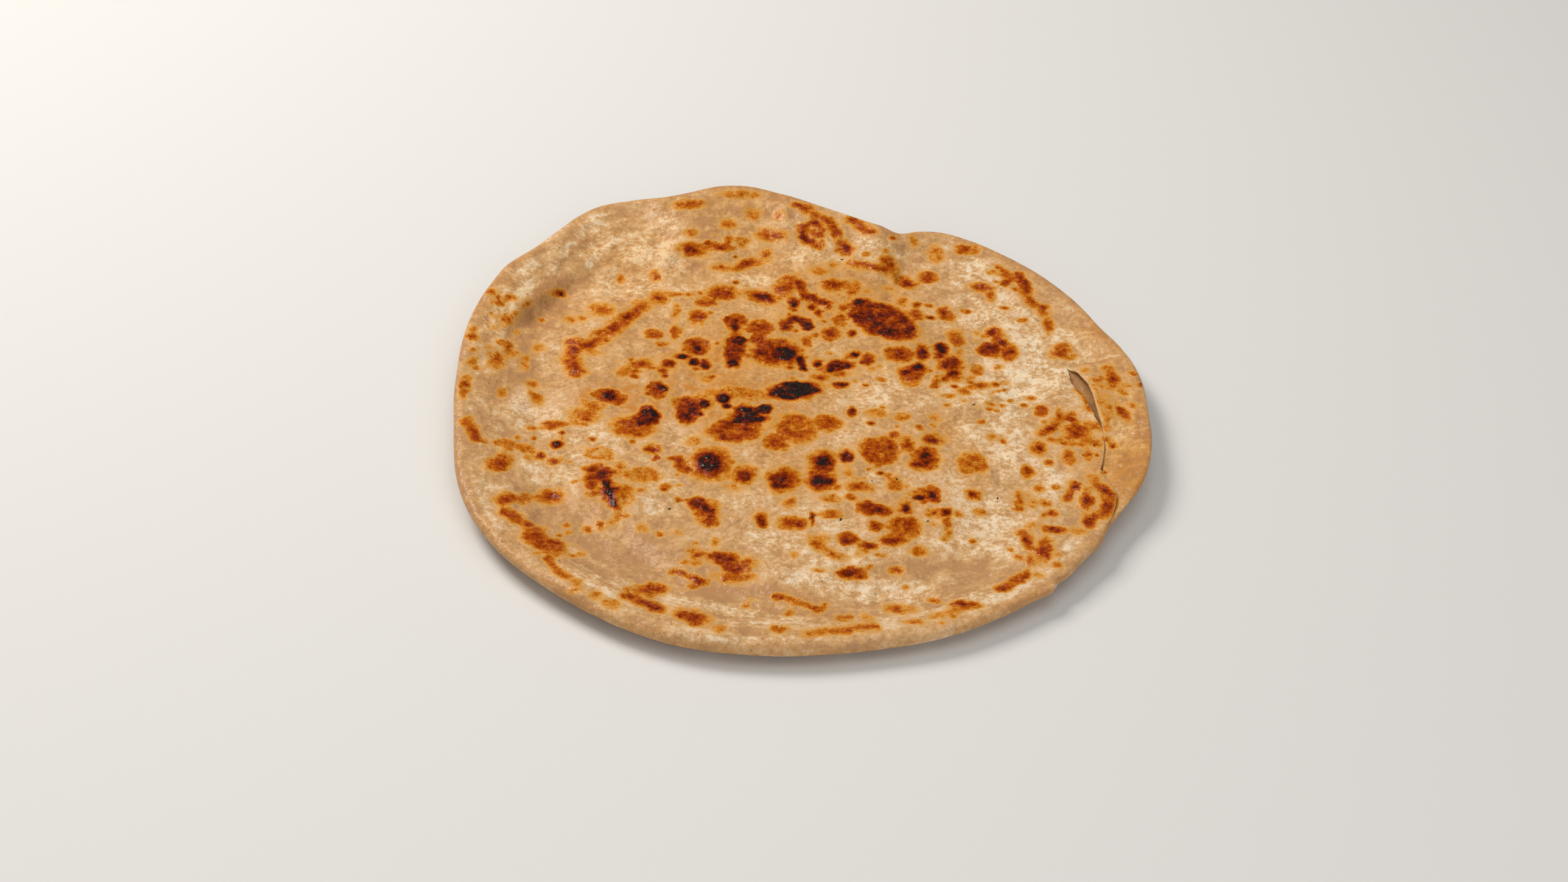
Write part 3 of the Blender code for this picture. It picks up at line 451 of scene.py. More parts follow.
# Orange glow where the griddle was hottest.
GLOW = [
    (-27, 18, 20, 14, .6), (63, -36, 14, 14, .3), (-63, 36, 18, 14, .4), (-45, -54, 16, 12, .3),
    (-9, -55, 14, 10, .3), (112, -27, 13, 18, 5, .8), (-51, -4, 30, 20, .6), (-83, -7, 12, 12, .4),
    (-19, 1, 30, 14, 10, .5), (-45, 18, 40, 16, 10, .4), (-8, 40, 34, 14, .4), (-10, 6, 44, 12, 12, .9),
    (-52, 2, 36, 12, 10, .5), (-36, 2, 36, 18, .5), (-16, -11, 28, 22, 25, .8), (-19, 31, 17, 28, .8),
    (-4, 32, 26, 22, .8), (1, -14, 23, 28, -10, .7), (31, -21, 18, 22, .6), (3, 8, 26, 16, 15, .8),
    (-56, -46, 18, 26, -20, .6), (-15, -82, 22, 16, -20, .5), (56, 27, 18, 22, .4), (46, -22, 15, 22, .5),
    (31, -54, 24, 18, .6), (-33, 25, 22, 20, .5), (-62, 32, 30, 10, 50, .4), (95, -9, 16, 22, .6),
    (101, -42, 12, 28, .6), (5, 60, 22, 18, .6), (46, -44, 16, 16, .4), (14, 23, 28, 12, 10, .5),
    (-24, -33, 16, 18, .5), (12, -34, 14, 24, .5), (0, -39, 14, 16, .5), (31, 51, 32, 22, -38, .4),
    (-36, 89, 14, 12, .5), (-10, 101, 24, 10, .5), (-42, 118, 16, 8, .5), (80, 75, 10, 28, 20, .5),
    (-60, 1, 16, 12, .6), (-74, -75, 22, 10, -35, .5), (78, -66, 9, 16, .5), (-8, 62, 18, 12, .4),
    (-99, 22, 13, 16, .5), (15, 106, 18, 18, -40, .4), (60, -27, 12, 14, .6), (-20, 78, 16, 8, 35, .3),
]
# Golden-yellow, buttery spots.
GOLD = [
    (114, -24, 12, 26, .9), (114, 5, 12, 30, .5), (-20, 122, 34, 16, .6), (17, 79, 20, 14, .5),
    (33, 67, 20, 10, .4), (103, 50, 9, 12, .5), (53, -10, 10, 10, .6), (60.5, -27, 12, 14, .6),
    (-22, 52, 104, 76, .45), (-100, 46, 24, 50, .4), (108, 20, 18, 70, .5), (109, -26, 16, 18, 1),
    (-6, 14, 70, 26, .4), (0, -20, 80, 40, .3), (15, 58, 22, 22, .5), (-60, 82, 24, 22, .4),
    (-40, 100, 34, 20, .3), (-12, 90, 30, 30, .3), (-66, 50, 24, 12, .2), (27, 50, 40, 34, .3),
]


def ring(deg, rows):
    """Smooth closed curve through (angle, value) rows."""
    a, v = np.array(rows, float).T
    a = np.concatenate([a - 360, a, a + 360])
    v = np.tile(v, 3)
    slope = np.gradient(v, a)
    deg = np.mod(deg, 360.0)
    k = np.clip(np.searchsorted(a, deg, side="right") - 1, 0, len(a) - 2)
    w = a[k + 1] - a[k]
    t = (deg - a[k]) / w
    return (v[k] * (1 + 2 * t) * (1 - t) ** 2 + slope[k] * w * t * (1 - t) ** 2
            + v[k + 1] * t * t * (3 - 2 * t) + slope[k + 1] * w * t * t * (t - 1))


def along_tear(deg, column):
    """One column of the tear's table at these angles."""
    return np.interp(deg, [row[0] for row in TEAR], [row[column] for row in TEAR])


def off_line(x, y, points):
    """Distance to a line of points, positive on its left."""
    best = np.full(np.shape(x), 1e9)
    side = np.ones(np.shape(x))
    for (ax, ay), (bx, by) in zip(points[:-1], points[1:]):
        dx, dy = bx - ax, by - ay
        t = np.clip(((x - ax) * dx + (y - ay) * dy) / (dx * dx + dy * dy), 0, 1)
        d = np.hypot(x - ax - t * dx, y - ay - t * dy)
        left = np.sign(dx * (y - ay) - dy * (x - ax))
        side = np.where(d < best - 1e-9, left, side)
        best = np.minimum(best, d)
    return best * side


def polar(x, y):
    """Angle from +X in degrees, and distance from the middle."""
    return np.degrees(np.arctan2(y, x)), np.hypot(x, y)


CELLS = 64           # the uneven waves repeat after this many wavelengths


def crumple(x, y, size, seed):
    """Smooth uneven waves between about -0.7 and 0.7, with this wavelength."""
    angle = np.random.default_rng(seed).uniform(0, 2 * np.pi, (CELLS, CELLS))
    u, v = x / size + 10 * CELLS, y / size + 10 * CELLS
    i, j = np.floor(u).astype(int), np.floor(v).astype(int)
    u, v = u - i, v - j
    total = np.zeros(np.shape(x))
    for di in (0, 1):
        for dj in (0, 1):
            a = angle[(i + di) % CELLS, (j + dj) % CELLS]
            near_u = u if di == 0 else 1 - u
            near_v = v if dj == 0 else 1 - v
            weight = (1 - near_u ** 3 * (near_u * (6 * near_u - 15) + 10)) * (
                1 - near_v ** 3 * (near_v * (6 * near_v - 15) + 10))
            total += weight * (np.cos(a) * (u - di) + np.sin(a) * (v - dj))
    return total


def lump(x, y, cx, cy, a, b, turn=0):
    """Squared distance from a turned ellipse's middle, 1 on its outline."""
    c, s = np.cos(np.radians(turn)), np.sin(np.radians(turn))
    u, v = (x - cx) * c + (y - cy) * s, (y - cy) * c - (x - cx) * s
    return (u / a) ** 2 + (v / b) ** 2


def under_face(x, y):
    """Height of the underside: flat in the middle, lifting towards the edge."""
    deg, r = polar(x, y)
    reach = ring(deg, RADIUS)
    s = np.clip(1 - (reach - r) / np.minimum(HEEL, reach - FLAT), 0, 1)
    return (ring(deg, EDGE_HEIGHT) - ring(deg, EDGE_HALF)) * s ** HEEL_CURVE


def broad_top(x, y):
    """The upper face's large shape, as in the CAD."""
    deg, r = polar(x, y)
    inside = np.maximum(ring(deg, RADIUS) - r, 0)
    rise = ring(deg, RISE)
    edge = ring(deg, EDGE_HEIGHT) + CROWN * ring(deg, EDGE_HALF)
    s = np.clip(1 - inside / rise, 0, 1)
    z = LEVEL + (edge - LEVEL) * s * s * (1.5 - 0.5 * s)
    z = z - ring(deg, VALLEY) * np.exp(-((inside - VALLEY_PLACE * rise) / VALLEY_WIDTH) ** 2)
    for height, width, points in BROAD_FOLDS:
        z = z + height * np.exp(-(off_line(x, y, points) / width) ** 2)
    for cx, cy, a, b, *turn, height in SWELLS:
        z = z + height * np.exp(-lump(x, y, cx, cy, a, b, *turn))
    spare = z - under_face(x, y) - THIN     # eased off where the bread would get too thin
    return z - spare + (spare + np.sqrt(spare * spare + 1)) / 2


def fine_top(x, y):
    """Creases, scarps and the dough's own wrinkles."""
    z = np.zeros(np.shape(x))
    for height, width, points in FINE_FOLDS:
        z = z + height * np.exp(-(off_line(x, y, points) / width) ** 2)
    for height, width, points in SCARPS:
        d = off_line(x, y, points)
        middle_x, middle_y = np.mean(points, 0)
        half_span = math.dist(points[0], points[-1]) / 2
        fade = np.exp(-(np.hypot(x - middle_x, y - middle_y) / (0.8 * half_span)) ** 4)
        z = z + height * fade * np.tanh(d / width) * np.exp(-(d / (4 * width)) ** 2)
    for height, size, seed in WRINKLES:
        z = z + height * crumple(x, y, size, seed)
    return z


def round_edge(x, y, z):
    """Brings a face round to the middle height of the edge over the last few millimetres."""
    deg, r = polar(x, y)
    half = ring(deg, EDGE_HALF)
    t = np.clip((ring(deg, RADIUS) - r) / (ROUNDING * half), 0, 1)
    mid = ring(deg, EDGE_HEIGHT)
    return mid + (z - mid) * np.sqrt(1 - (1 - t) ** 2)


def net(sides, rings):
    """Plan of one face: rings of 4 * sides points from the edge in, then a square patch of cells."""
    n = 4 * sides
    ang = np.radians(-45 + 90.0 * np.arange(n) / sides)
    p = np.linspace(-1, 1, sides + 1)
    q, pp = np.meshgrid(p, p, indexing="ij")
    px, py = pp * np.sqrt(1 - 0.25 * q * q), q * np.sqrt(1 - 0.25 * pp * pp)
    walk = ([(j, sides) for j in range(sides)] + [(sides, sides - j) for j in range(sides)]
            + [(sides - j, 0) for j in range(sides)] + [(0, j) for j in range(sides)])
    rim = np.array([(px[w], py[w]) for w in walk]) * PATCH
    pts, ids = [], []
    for e in rings:
        s = e / (DISC * (1 - PATCH))
        ids.append(np.arange(n) + n * len(ids))
        pts.append(np.stack([np.cos(ang), np.sin(ang)], 1) * (1 - s) + rim * s)
    patch = n * len(ids) + np.arange((sides + 1) ** 2).reshape(sides + 1, sides + 1)
    pts.append(np.stack([px.ravel(), py.ravel()], 1) * PATCH)
    ids.append(np.array([patch[w] for w in walk]))
    pts = np.concatenate(pts)
    deg, rho = polar(pts[:, 0], pts[:, 1])
    return deg, rho * (DISC + (ring(deg, RADIUS) - DISC) * rho ** 2), ids, patch


def quads(ids, patch):
    """The four-sided faces between the rings of a net and over its square patch."""
    faces = []
    for outer, inner in zip(ids[:-1], ids[1:]):
        faces.append(np.stack([outer, np.roll(outer, -1), np.roll(inner, -1), inner], 1))
    faces.append(np.stack([patch[:-1, :-1].ravel(), patch[:-1, 1:].ravel(),
                           patch[1:, 1:].ravel(), patch[1:, :-1].ravel()], 1))
    return np.concatenate(faces)


def from_polar(deg, r):
    """Points at these angles and distances from the middle."""
    a = np.radians(deg)
    return np.stack([r * np.cos(a), r * np.sin(a)], 1)


# The upper face's net: close rings over the rounded edge, even ones to the tear's, and on to the patch.
SIDES = 168
TEAR_IN = 16.0       # how far in the tear's ring is before it is drawn on to the tear
edge_steps = [0, 0.15, 0.45, 0.9, 1.5, 2.2, 3.0, 3.9, 4.9]
outer_steps = list(np.linspace(edge_steps[-1], TEAR_IN, 12)[1:])
inner_steps = list(np.linspace(TEAR_IN, DISC * (1 - PATCH), 41)[1:-1])
deg, r, ids, patch = net(SIDES, edge_steps + outer_steps + inner_steps)
tear_ring = len(edge_steps) + len(outer_steps) - 1

# The tear's ring of points is drawn on to the tear line, and its neighbours make room.
ROOM_BEFORE = 16     # degrees before and after the tear over which the ring comes back to its place
ROOM_AFTER = 14
ROOM_INSIDE = 26.0   # how far in from the tear the rings make room
TORN_LENGTH = 1.75   # mm along the tear for each degree
OPEN_FROM = -7       # the lips are more ragged past this angle, where the tear gapes
RAISED_REACH = 3.5   # how soon the step at the tear fades out where the outer side stands higher
SUNK_REACH = 9.0     # and where it lies lower
tear = ids[tear_ring]
order = tear[np.argsort(deg[tear])]
reach = ring(deg, RADIUS)
inset = reach - r
ring_inset = np.interp(deg, deg[order], inset[order], period=360)
first_deg, last_deg = TEAR[0][0], TEAR[-1][0]
fade = np.clip((deg - first_deg + ROOM_BEFORE) / ROOM_BEFORE, 0, 1)
fade = fade * np.clip((last_deg + ROOM_AFTER - deg) / ROOM_AFTER, 0, 1)
fade = fade * fade * (3 - 2 * fade)
way = deg * TORN_LENGTH
ragged = 0.35 * crumple(way, 0 * way, 1.6, 21) + 0.25 * crumple(way, 0 * way, 0.8, 22)
ragged *= np.clip((deg - OPEN_FROM) / 3, 0.25, 1) * np.clip((last_deg - deg) / 2, 0, 1) * (deg > first_deg)
goal_in = along_tear(deg, 1) + ragged
goal_out = along_tear(deg, 2) + 0.6 * np.roll(ragged, 5)
outside = inset < ring_inset - 1e-6
stretch = 1 + (goal_out / ring_inset - 1) * fade
inner_pull = np.clip(1 - (inset - ring_inset) / ROOM_INSIDE, 0, 1)
inset_new = np.where(outside, inset * stretch,
                     inset + (goal_in - ring_inset) * fade * inner_pull * inner_pull * (3 - 2 * inner_pull))
span = [v for v in order if first_deg < deg[v] < last_deg]
row = list(order)
head, tail = row[row.index(span[0]) - 1], row[row.index(span[-1]) + 1]
inset_new[order] = ring_inset[order] + (goal_out[order] - ring_inset[order]) * fade[order]
plan = from_polar(deg, reach - inset_new)
inner_lip = len(plan) + np.arange(len(span))
plan = np.concatenate([plan, from_polar(deg[span], reach[span] - goal_in[span])])
faces = quads(ids, patch)
swap = np.arange(len(plan))
swap[span] = inner_lip
on_tear = np.isin(faces, span)
inner_side = np.isin(faces, ids[tear_ring + 1]).any(1)
faces = np.where(on_tear & inner_side[:, None], swap[faces], faces)

x, y = plan.T
z_broad = broad_top(x, y)
z_fine = fine_top(x, y)
all_deg, all_r = polar(x, y)
all_inset = ring(all_deg, RADIUS) - all_r
is_outer = np.concatenate([outside | np.isin(np.arange(len(deg)), tear), np.zeros(len(span), bool)])
step = along_tear(all_deg, 3) * (all_deg > first_deg) * (all_deg < last_deg)
line_inset = np.concatenate([goal_out, goal_in[span]])
gap_fade = np.exp(-np.abs(all_inset - line_inset) / np.where(step > 0, RAISED_REACH, SUNK_REACH))
lift = np.where(is_outer, step * gap_fade, -0.25 * step * gap_fade * (step > 0))
z_top = np.maximum(z_broad + z_fine * np.clip(all_inset / 4, 0.25, 1) + lift, under_face(x, y) + BARE)
z_top = round_edge(x, y, z_top)
top_count = len(plan)

# Pocket and lap under the lips: round the torn edges, in under both layers, and across the floor.
SKIN = 1.2           # thickness of the torn upper layer
POCKET = 3.4         # how far the pocket runs in under each lip where it gapes
LAP = 1.1            # how far the lap runs in under the main sheet
OUTER_SHARE = 0.35   # share of the step at the lap that the outer side takes up
INNER_SHARE = 0.75   # and the inner side
BULGE = 0.32         # how far a torn edge stands out, against its thickness
FLOOR = 1.4          # bread left under the pocket
FLOOR_SINK = 0.8     # how nearly the pocket's middle comes down to that floor
FLOOR_LUMPS = 0.5
FLOOR_STEPS = 6
points = [np.stack([x, y, z_top], 1)]
span = np.array(span)
gape = np.interp(deg[span], *np.array(GAPE).T)
ease = np.sin(np.pi * (np.arange(len(span)) + 1) / (len(span) + 1)) ** 0.35
floor_z = under_face(*plan[span].T) + FLOOR
drop_over = np.abs(along_tear(deg[span], 3))
count = top_count
chains_in, chains_out = [inner_lip], [span]
sides = ((chains_in, points[0][inner_lip], -1), (chains_out, points[0][span], 1))
turns = [(math.radians(t), 0.0) for t in (25, 50, 75, 100, 125, 150, 180)] + [(math.pi, 0.4), (math.pi, 1.0)]
for turn, under_way in turns:
    for chain, base, side in sides:
        rr = np.hypot(base[:, 0], base[:, 1])
        lap_share = OUTER_SHARE if side > 0 else INNER_SHARE
        bulge = BULGE * (SKIN * gape + lap_share * drop_over * (1 - gape) * (side < 0)) * math.sin(turn)
        travel = ((POCKET * gape + side * -LAP * (1 - gape)) * under_way - bulge) * ease * side
        fall = (SKIN * gape + lap_share * drop_over * (1 - gape)) * (1 - math.cos(turn)) / 2 * ease
        z = np.maximum(base[:, 2] - fall, np.minimum(base[:, 2], floor_z))
        f = (rr + travel) / rr
        points.append(np.stack([base[:, 0] * f, base[:, 1] * f, z], 1))
        chain.append(count + np.arange(len(span)))
        count += len(span)
lip_last = count
left_floor, right_floor = points[-2].copy(), points[-1].copy()
for end in (left_floor, right_floor):
    end[:, 2] -= (end[:, 2] - floor_z) * FLOOR_SINK * gape * ease
floor_chains = []
for k in range(FLOOR_STEPS + 1):
    t = k / FLOOR_STEPS
    line = left_floor * (1 - t) + right_floor * t
    line[:, 2] += FLOOR_LUMPS * gape * crumple(line[:, 0], line[:, 1], 3.0, 31)
    points.append(line)
    floor_chains.append(count + np.arange(len(span)))
    count += len(span)
strips = chains_in + floor_chains + chains_out[::-1]
ends = []
for near_chain, far_chain in zip(strips[:-1], strips[1:]):
    body = np.stack([far_chain[:-1], far_chain[1:], near_chain[1:], near_chain[:-1]], 1)
    faces = np.concatenate([faces, body])
    ends.append((head, far_chain[0], near_chain[0]))
    ends.append((near_chain[-1], far_chain[-1], tail))

# Underside at half the density, joined to the rim. It is rougher outside the spot it rests on.
SETTLED = 0.2        # anything lower than this over the resting spot lies on the table
low_steps = [0.3, 0.9, 1.8, 3.0, 4.6, 6.6, 9.0] + list(np.linspace(11.5, 55.0, 18))
low_deg, low_r, low_ids, low_patch = net(SIDES // 2, low_steps)
low_x, low_y = from_polar(low_deg, low_r).T
rough = np.clip((low_r - FLAT / 2) / 20, 0.25, 1)
dimples = 0.35 + 0.5 * crumple(low_x, low_y, 15.0, 41) + 0.22 * crumple(low_x, low_y, 6.0, 43)
low_z = round_edge(low_x, low_y, np.maximum(under_face(low_x, low_y) + rough * dimples, 0))
low_z = np.where((low_r < FLAT) & (low_z < SETTLED), 0, low_z)
points.append(np.stack([low_x, low_y, low_z], 1))
faces = [tuple(f) for f in faces] + ends + [tuple(f[::-1]) for f in quads(low_ids, low_patch) + count]
rim, heel_ring = ids[0], low_ids[0] + count
for j in range(len(heel_ring)):
    a, b, c = rim[2 * j], rim[2 * j + 1], rim[(2 * j + 2) % len(rim)]
    k = (j + 1) % len(heel_ring)
    faces += [(b, a, heel_ring[j]), (b, heel_ring[j], heel_ring[k]), (c, b, heel_ring[k])]
points = np.concatenate(points)

# Where each point is seen from the near side, as a place on the level plane: the marks are laid out there.
# The warp bends their outlines a little, so that none is a clean ellipse.
eye = np.array(CAMERA_PLACE) / MM
reach_plane = (eye[2] - LEVEL) / (eye[2] - points[:, 2])
seen_x = eye[0] + (points[:, 0] - eye[0]) * reach_plane + PLAN_SHIFT[0]
seen_y = eye[1] + (points[:, 1] - eye[1]) * reach_plane + PLAN_SHIFT[1]
index = np.arange(len(points))
under = index >= count
pocket = (index >= top_count) & ~under
warp_x = seen_x + 0.9 * crumple(seen_x, seen_y, 7.0, 51) + 0.7 * crumple(seen_x, seen_y, 3.1, 52)
warp_y = seen_y + 0.9 * crumple(seen_x, seen_y, 7.0, 53) + 0.7 * crumple(seen_x, seen_y, 3.1, 54)

GOLDEN = 0.28        # browning at the outline of a mark
GROWTH = 0.4         # the browning spreads this far past the outlines set out above
STAIN = 6.5          # reach of the amber stain round a mark
SMUDGE = 0.30        # browning of the faint golden smudges in freckled dough
SPOT_ROOM = 24.0     # square millimetres of freckled dough for each small spot
UNDER_COUNT = 170    # the underside was cooked first, and has more and rounder spots
UNDER_REACH = 106    # they lie within this distance of the middle


def soft(value, low, high):
    """Smooth step up from low to high."""
    t = np.clip((value - low) / (high - low), 0, 1)
    return t * t * (3 - 2 * t)


def bake(outside_mm, depth, half, halo):
    """Browning at this distance outside a mark's outline: a golden fringe, then darker to the middle."""
    fringe = GOLDEN * min(1.0, depth / 0.7) * halo
    crisp = min(1.0, 2.0 - 1.3 * depth)         # char ends more sharply than browning
    return (fringe * soft(-outside_mm, (-2.0 - 0.4 * min(half, 3.5)) * halo, 0.5)
            + (depth - fringe) * (0.62 * soft(-outside_mm, -0.8, min(1.4, 0.8 * half) * halo)
                                  + 0.38 * soft(-outside_mm, 0.2, (min(3.2, 0.9 * half) + 0.3) * crisp)))


def brown(x, y, marks, streaks):
    """How far each place is browned, from 0 for pale dough, and how near it is to such a place."""
    value = np.zeros(len(x))
    stain = np.zeros(len(x))
    torn = 1.0 * crumple(x, y, 6.5, 73) + 0.9 * crumple(x, y, 3.6, 71) + 0.6 * crumple(x, y, 1.9, 72)
    uneven = 1 + 0.5 * crumple(x, y, 6.0, 74)
    halos = np.random.default_rng(9).uniform(0.55, 1.35, len(marks) + len(streaks))
    for (cx, cy, wide, tall, *turn, depth), halo in zip(marks, halos):
        small = math.sqrt(wide * tall) / 2
        near = np.hypot(x - cx, y - cy) < max(wide, tall) / 2 + 8
        q = (np.sqrt(lump(x[near], y[near], cx, cy, wide / 2, tall / 2, *turn)) - 1) * small
        q += torn[near] * min(1.0, small / 3) - GROWTH
        if depth < 0:
            value[near] *= 1 + depth * soft(-q, -0.6, 0.6)
            continue
        value[near] = np.maximum(value[near], bake(q, depth, small, halo))
        stain[near] = np.maximum(stain[near], depth * soft(-q, -STAIN, 0.5))
    for (depth, wide, line), halo in zip(streaks, halos[len(marks):]):
        q = np.abs(off_line(x, y, line)) - wide / 2 + torn - GROWTH
        value = np.maximum(value, bake(q, depth, wide / 2, halo) * uneven)
        stain = np.maximum(stain, depth * soft(-q, -STAIN, 0.5))
    return value, stain


def spread(x, y, rows, fading=0.55):
    """Sum of soft elliptical patches; the more fading, the sooner they end."""
    value = np.zeros(len(x))
    for cx, cy, wide, tall, *turn, strength in rows:
        value += strength * np.exp(-lump(x, y, cx, cy, wide / 2, tall / 2, *turn) * fading)
    return value


# Small spots, sown by a fixed seed in the freckled dough and over the underside.
draw = np.random.default_rng(14)
spots = []
for cx, cy, wide, tall, *_, strength in FRECKLES:
    for _ in range(int(strength * wide * tall / SPOT_ROOM)):
        way, far = draw.uniform(0, 2 * math.pi), 0.62 * math.sqrt(draw.uniform())
        size = 0.8 + 1.9 * draw.uniform() ** 2.5
        spots.append((cx + far * wide * math.cos(way), cy + far * tall * math.sin(way),
                      size * draw.uniform(0.8, 1.5), size, draw.uniform(-40, 40), draw.uniform(0.32, 0.7)))
under_spots = []
for _ in range(UNDER_COUNT):
    way, far = draw.uniform(0, 2 * math.pi), UNDER_REACH * math.sqrt(draw.uniform())
    size = 1.5 + 9.0 * draw.uniform() ** 3
    under_spots.append((far * math.cos(way), far * math.sin(way), size * draw.uniform(0.9, 1.5), size,
                        draw.uniform(-60, 60), draw.uniform(0.35, 0.8) + 0.03 * size))

# What each point carries: browning, with one dot of painted shade in the tear's small hole; dry flour, with
# painted shade and highlight on walls, creases and ridges; buttery yellow (gold), orange glow, crumb inside
# the tear, darker on the pocket floor as painted shade; nearness of the rim, and the way along the rim.
toast_and_hole_shade, stain = brown(warp_x, warp_y, MARKS, STREAKS)
smudge = crumple(seen_x, seen_y, 8.0, 91) + 0.7 * crumple(seen_x, seen_y, 3.2, 92)
toast_and_hole_shade = np.maximum(toast_and_hole_shade, SMUDGE * soft(smudge, 0.0, 0.6) * np.clip(spread(seen_x, seen_y, FRECKLES), 0, 1))
toast_and_hole_shade = np.maximum(toast_and_hole_shade, brown(seen_x, seen_y, spots, [])[0])
toast_and_hole_shade[under], stain[under] = brown(points[under, 0], points[under, 1], under_spots, [])
toast_and_hole_shade *= 1 + 0.25 * crumple(seen_x, seen_y, 4.5, 61) + 0.25 * crumple(seen_x, seen_y, 1.9, 62)
flour_and_painted_light = spread(warp_x, warp_y, PATCHES)
# Pale lines of dry dough and painted highlight, and painted shade along the creases.
for strength, wide, line in CREASES:
    flour_and_painted_light += strength * np.exp(-(off_line(warp_x, warp_y, line) / (wide / 2 + 0.3)) ** 2)
# Painted shade beside the SHADES lines.
for strength, crisp, reach_mm, line in SHADES:
    d = off_line(warp_x, warp_y, line)
    flour_and_painted_light -= strength * soft(d, -crisp / 2, crisp / 2) * np.exp(-(d / reach_mm) ** 2)
gold = np.clip(spread(seen_x, seen_y, GOLD, 0.7), 0, 1)
glow = np.clip(spread(warp_x, warp_y, GLOW, 0.9), 0, 1)
glow = np.clip(glow + 0.5 * stain, 0, 1.2)
edge_deg, edge_r = polar(points[:, 0], points[:, 1])
edge_inset = ring(edge_deg, RADIUS) - edge_r
rim_skin = soft(-edge_inset, -6, -1.5)
flour_and_painted_light = np.tanh(flour_and_painted_light - 0.45 * rim_skin)
flour_and_painted_light[under] = 0.8 * crumple(points[under, 0], points[under, 1], 19.0, 81)
gold[under] = 0.2
glow[under] = 0.6 * stain[under]
glow = np.maximum(glow, 0.3 * rim_skin)
for values in (toast_and_hole_shade, flour_and_painted_light, gold, glow):
    values[pocket] = 0
RIM_STRETCH = 6.0    # the dough's streaks along the edge are this much longer than wide
rim_way = np.stack([DISC / RIM_STRETCH * np.cos(np.radians(edge_deg)),
                    DISC / RIM_STRETCH * np.sin(np.radians(edge_deg)), edge_inset], 1) * MM
near_rim = soft(-edge_inset, -34, -14)
inside = pocket * np.where(index < lip_last, 0.35, 1.0)     # torn edges pale crumb, the floor darker as painted shade

bread_mesh = bpy.data.meshes.new("bread")
bread_mesh.from_pydata((points * MM).tolist(), [], [tuple(int(v) for v in f) for f in faces])
bread_mesh.polygons.foreach_set("use_smooth", [True] * len(bread_mesh.polygons))
for name, values in (("toast_and_hole_shade", toast_and_hole_shade), ("flour_and_painted_light", flour_and_painted_light), ("gold", gold), ("glow", glow),
                     ("inside", inside), ("near_rim", near_rim)):
    bread_mesh.attributes.new(name, "FLOAT", "POINT").data.foreach_set("value", values.astype(np.float32))
bread_mesh.attributes.new("rim_way", "FLOAT_VECTOR", "POINT").data.foreach_set(
    "vector", rim_way.astype(np.float32).ravel())
bread = put_in_scene("bread", bread_mesh)
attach(bread, "root")
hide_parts("roti")

# Wheat crust off a dry iron griddle, brushed with butter: dull and floury where pale, with a thin gloss where
# the dough is moist or burnt.
crust, tree, shader = fresh_material("griddled_wheat_crust")
place = add(tree, "ShaderNodeTexCoord").outputs["Object"]


def field(name):
    """An amount that each point of the mesh carries."""
    return add(tree, "ShaderNodeAttribute", attribute_name=name).outputs["Fac"]


def noise(size_mm, detail=2.0, rough=0.5, where=place, bend=0.0):
    """Even noise round 0.5 with this grain size."""
    made = add(tree, "ShaderNodeTexNoise", {"Vector": where, "Scale": 1 / (size_mm * MM), "Detail": detail,
                                            "Roughness": rough, "Distortion": bend})
    return made.outputs["Fac"]


def calc(kind, a, b=0.0, c=0.0, clamp=False):
    """Arithmetic on values or sockets."""
    return add(tree, "ShaderNodeMath", {0: a, 1: b, 2: c}, operation=kind, use_clamp=clamp).outputs[0]


def rise(value, low, high, to_low=0.0, to_high=1.0):
    """Smooth change from one value to another as the input goes from low to high."""
    limits = {"Value": value, "From Min": low, "From Max": high, "To Min": to_low, "To Max": to_high}
    return add(tree, "ShaderNodeMapRange", limits, interpolation_type="SMOOTHSTEP").outputs["Result"]


def mix(factor, a, b, blend="MIX"):
    """One colour over another."""
    made = add(tree, "ShaderNodeMix", {0: factor, 6: a, 7: b}, data_type="RGBA", blend_type=blend)
    return made.outputs[2]


def ramp(value, stops):
    """Colour stops as (place, hex)."""
    made = add(tree, "ShaderNodeValToRGB", {"Fac": value})
    bar = made.color_ramp.elements
    while len(bar) < len(stops):
        bar.new(1.0)
    for stop, (where, colour) in zip(bar, stops):
        stop.position = where
        stop.color = tone(colour)
    return made.outputs["Color"]


def centred(value, amount):
    """A noise about 0, this many times as strong."""
    return calc("MULTIPLY", calc("SUBTRACT", value, 0.5), amount)


rim_place = add(tree, "ShaderNodeAttribute", attribute_name="rim_way").outputs["Vector"]
broad, middle, small, grain = noise(8.0, 1.0), noise(3.4, 1.0), noise(1.5, 1.0), noise(0.6, 1.5)
streaky = noise(3.4, 2.0, 0.5, rim_place, 0.3)

# Dough: dry and floury, or moist and see-through, with bran, and painted shade and highlight on its folds.
powder = rise(field("flour_and_painted_light"), -0.5, 0.7, 0.6, 1.0)
flecks = calc("ADD", centred(middle, 1.4), calc("ADD", centred(small, 1.6), centred(grain, 1.2)))
flecks = calc("ADD", flecks, calc("MULTIPLY", centred(streaky, 2.0), field("near_rim")))
dryness_and_painted_light = calc("ADD", calc("MULTIPLY", field("flour_and_painted_light"), 0.38), 0.44)
dryness_and_painted_light = calc("ADD", dryness_and_painted_light, centred(broad, 1.3))
dryness_and_painted_light = calc("ADD", dryness_and_painted_light, calc("MULTIPLY", flecks, powder), clamp=True)
dough = ramp(dryness_and_painted_light, [
    (0.0, "#B5875A"), (0.25, "#C29662"), (0.50, "#CDA473"), (0.78, "#DABA92"), (1.0, "#E6D0B0")])
yellow = calc("MULTIPLY", field("gold"), calc("ADD", centred(middle, 1.0), 0.9), clamp=True)
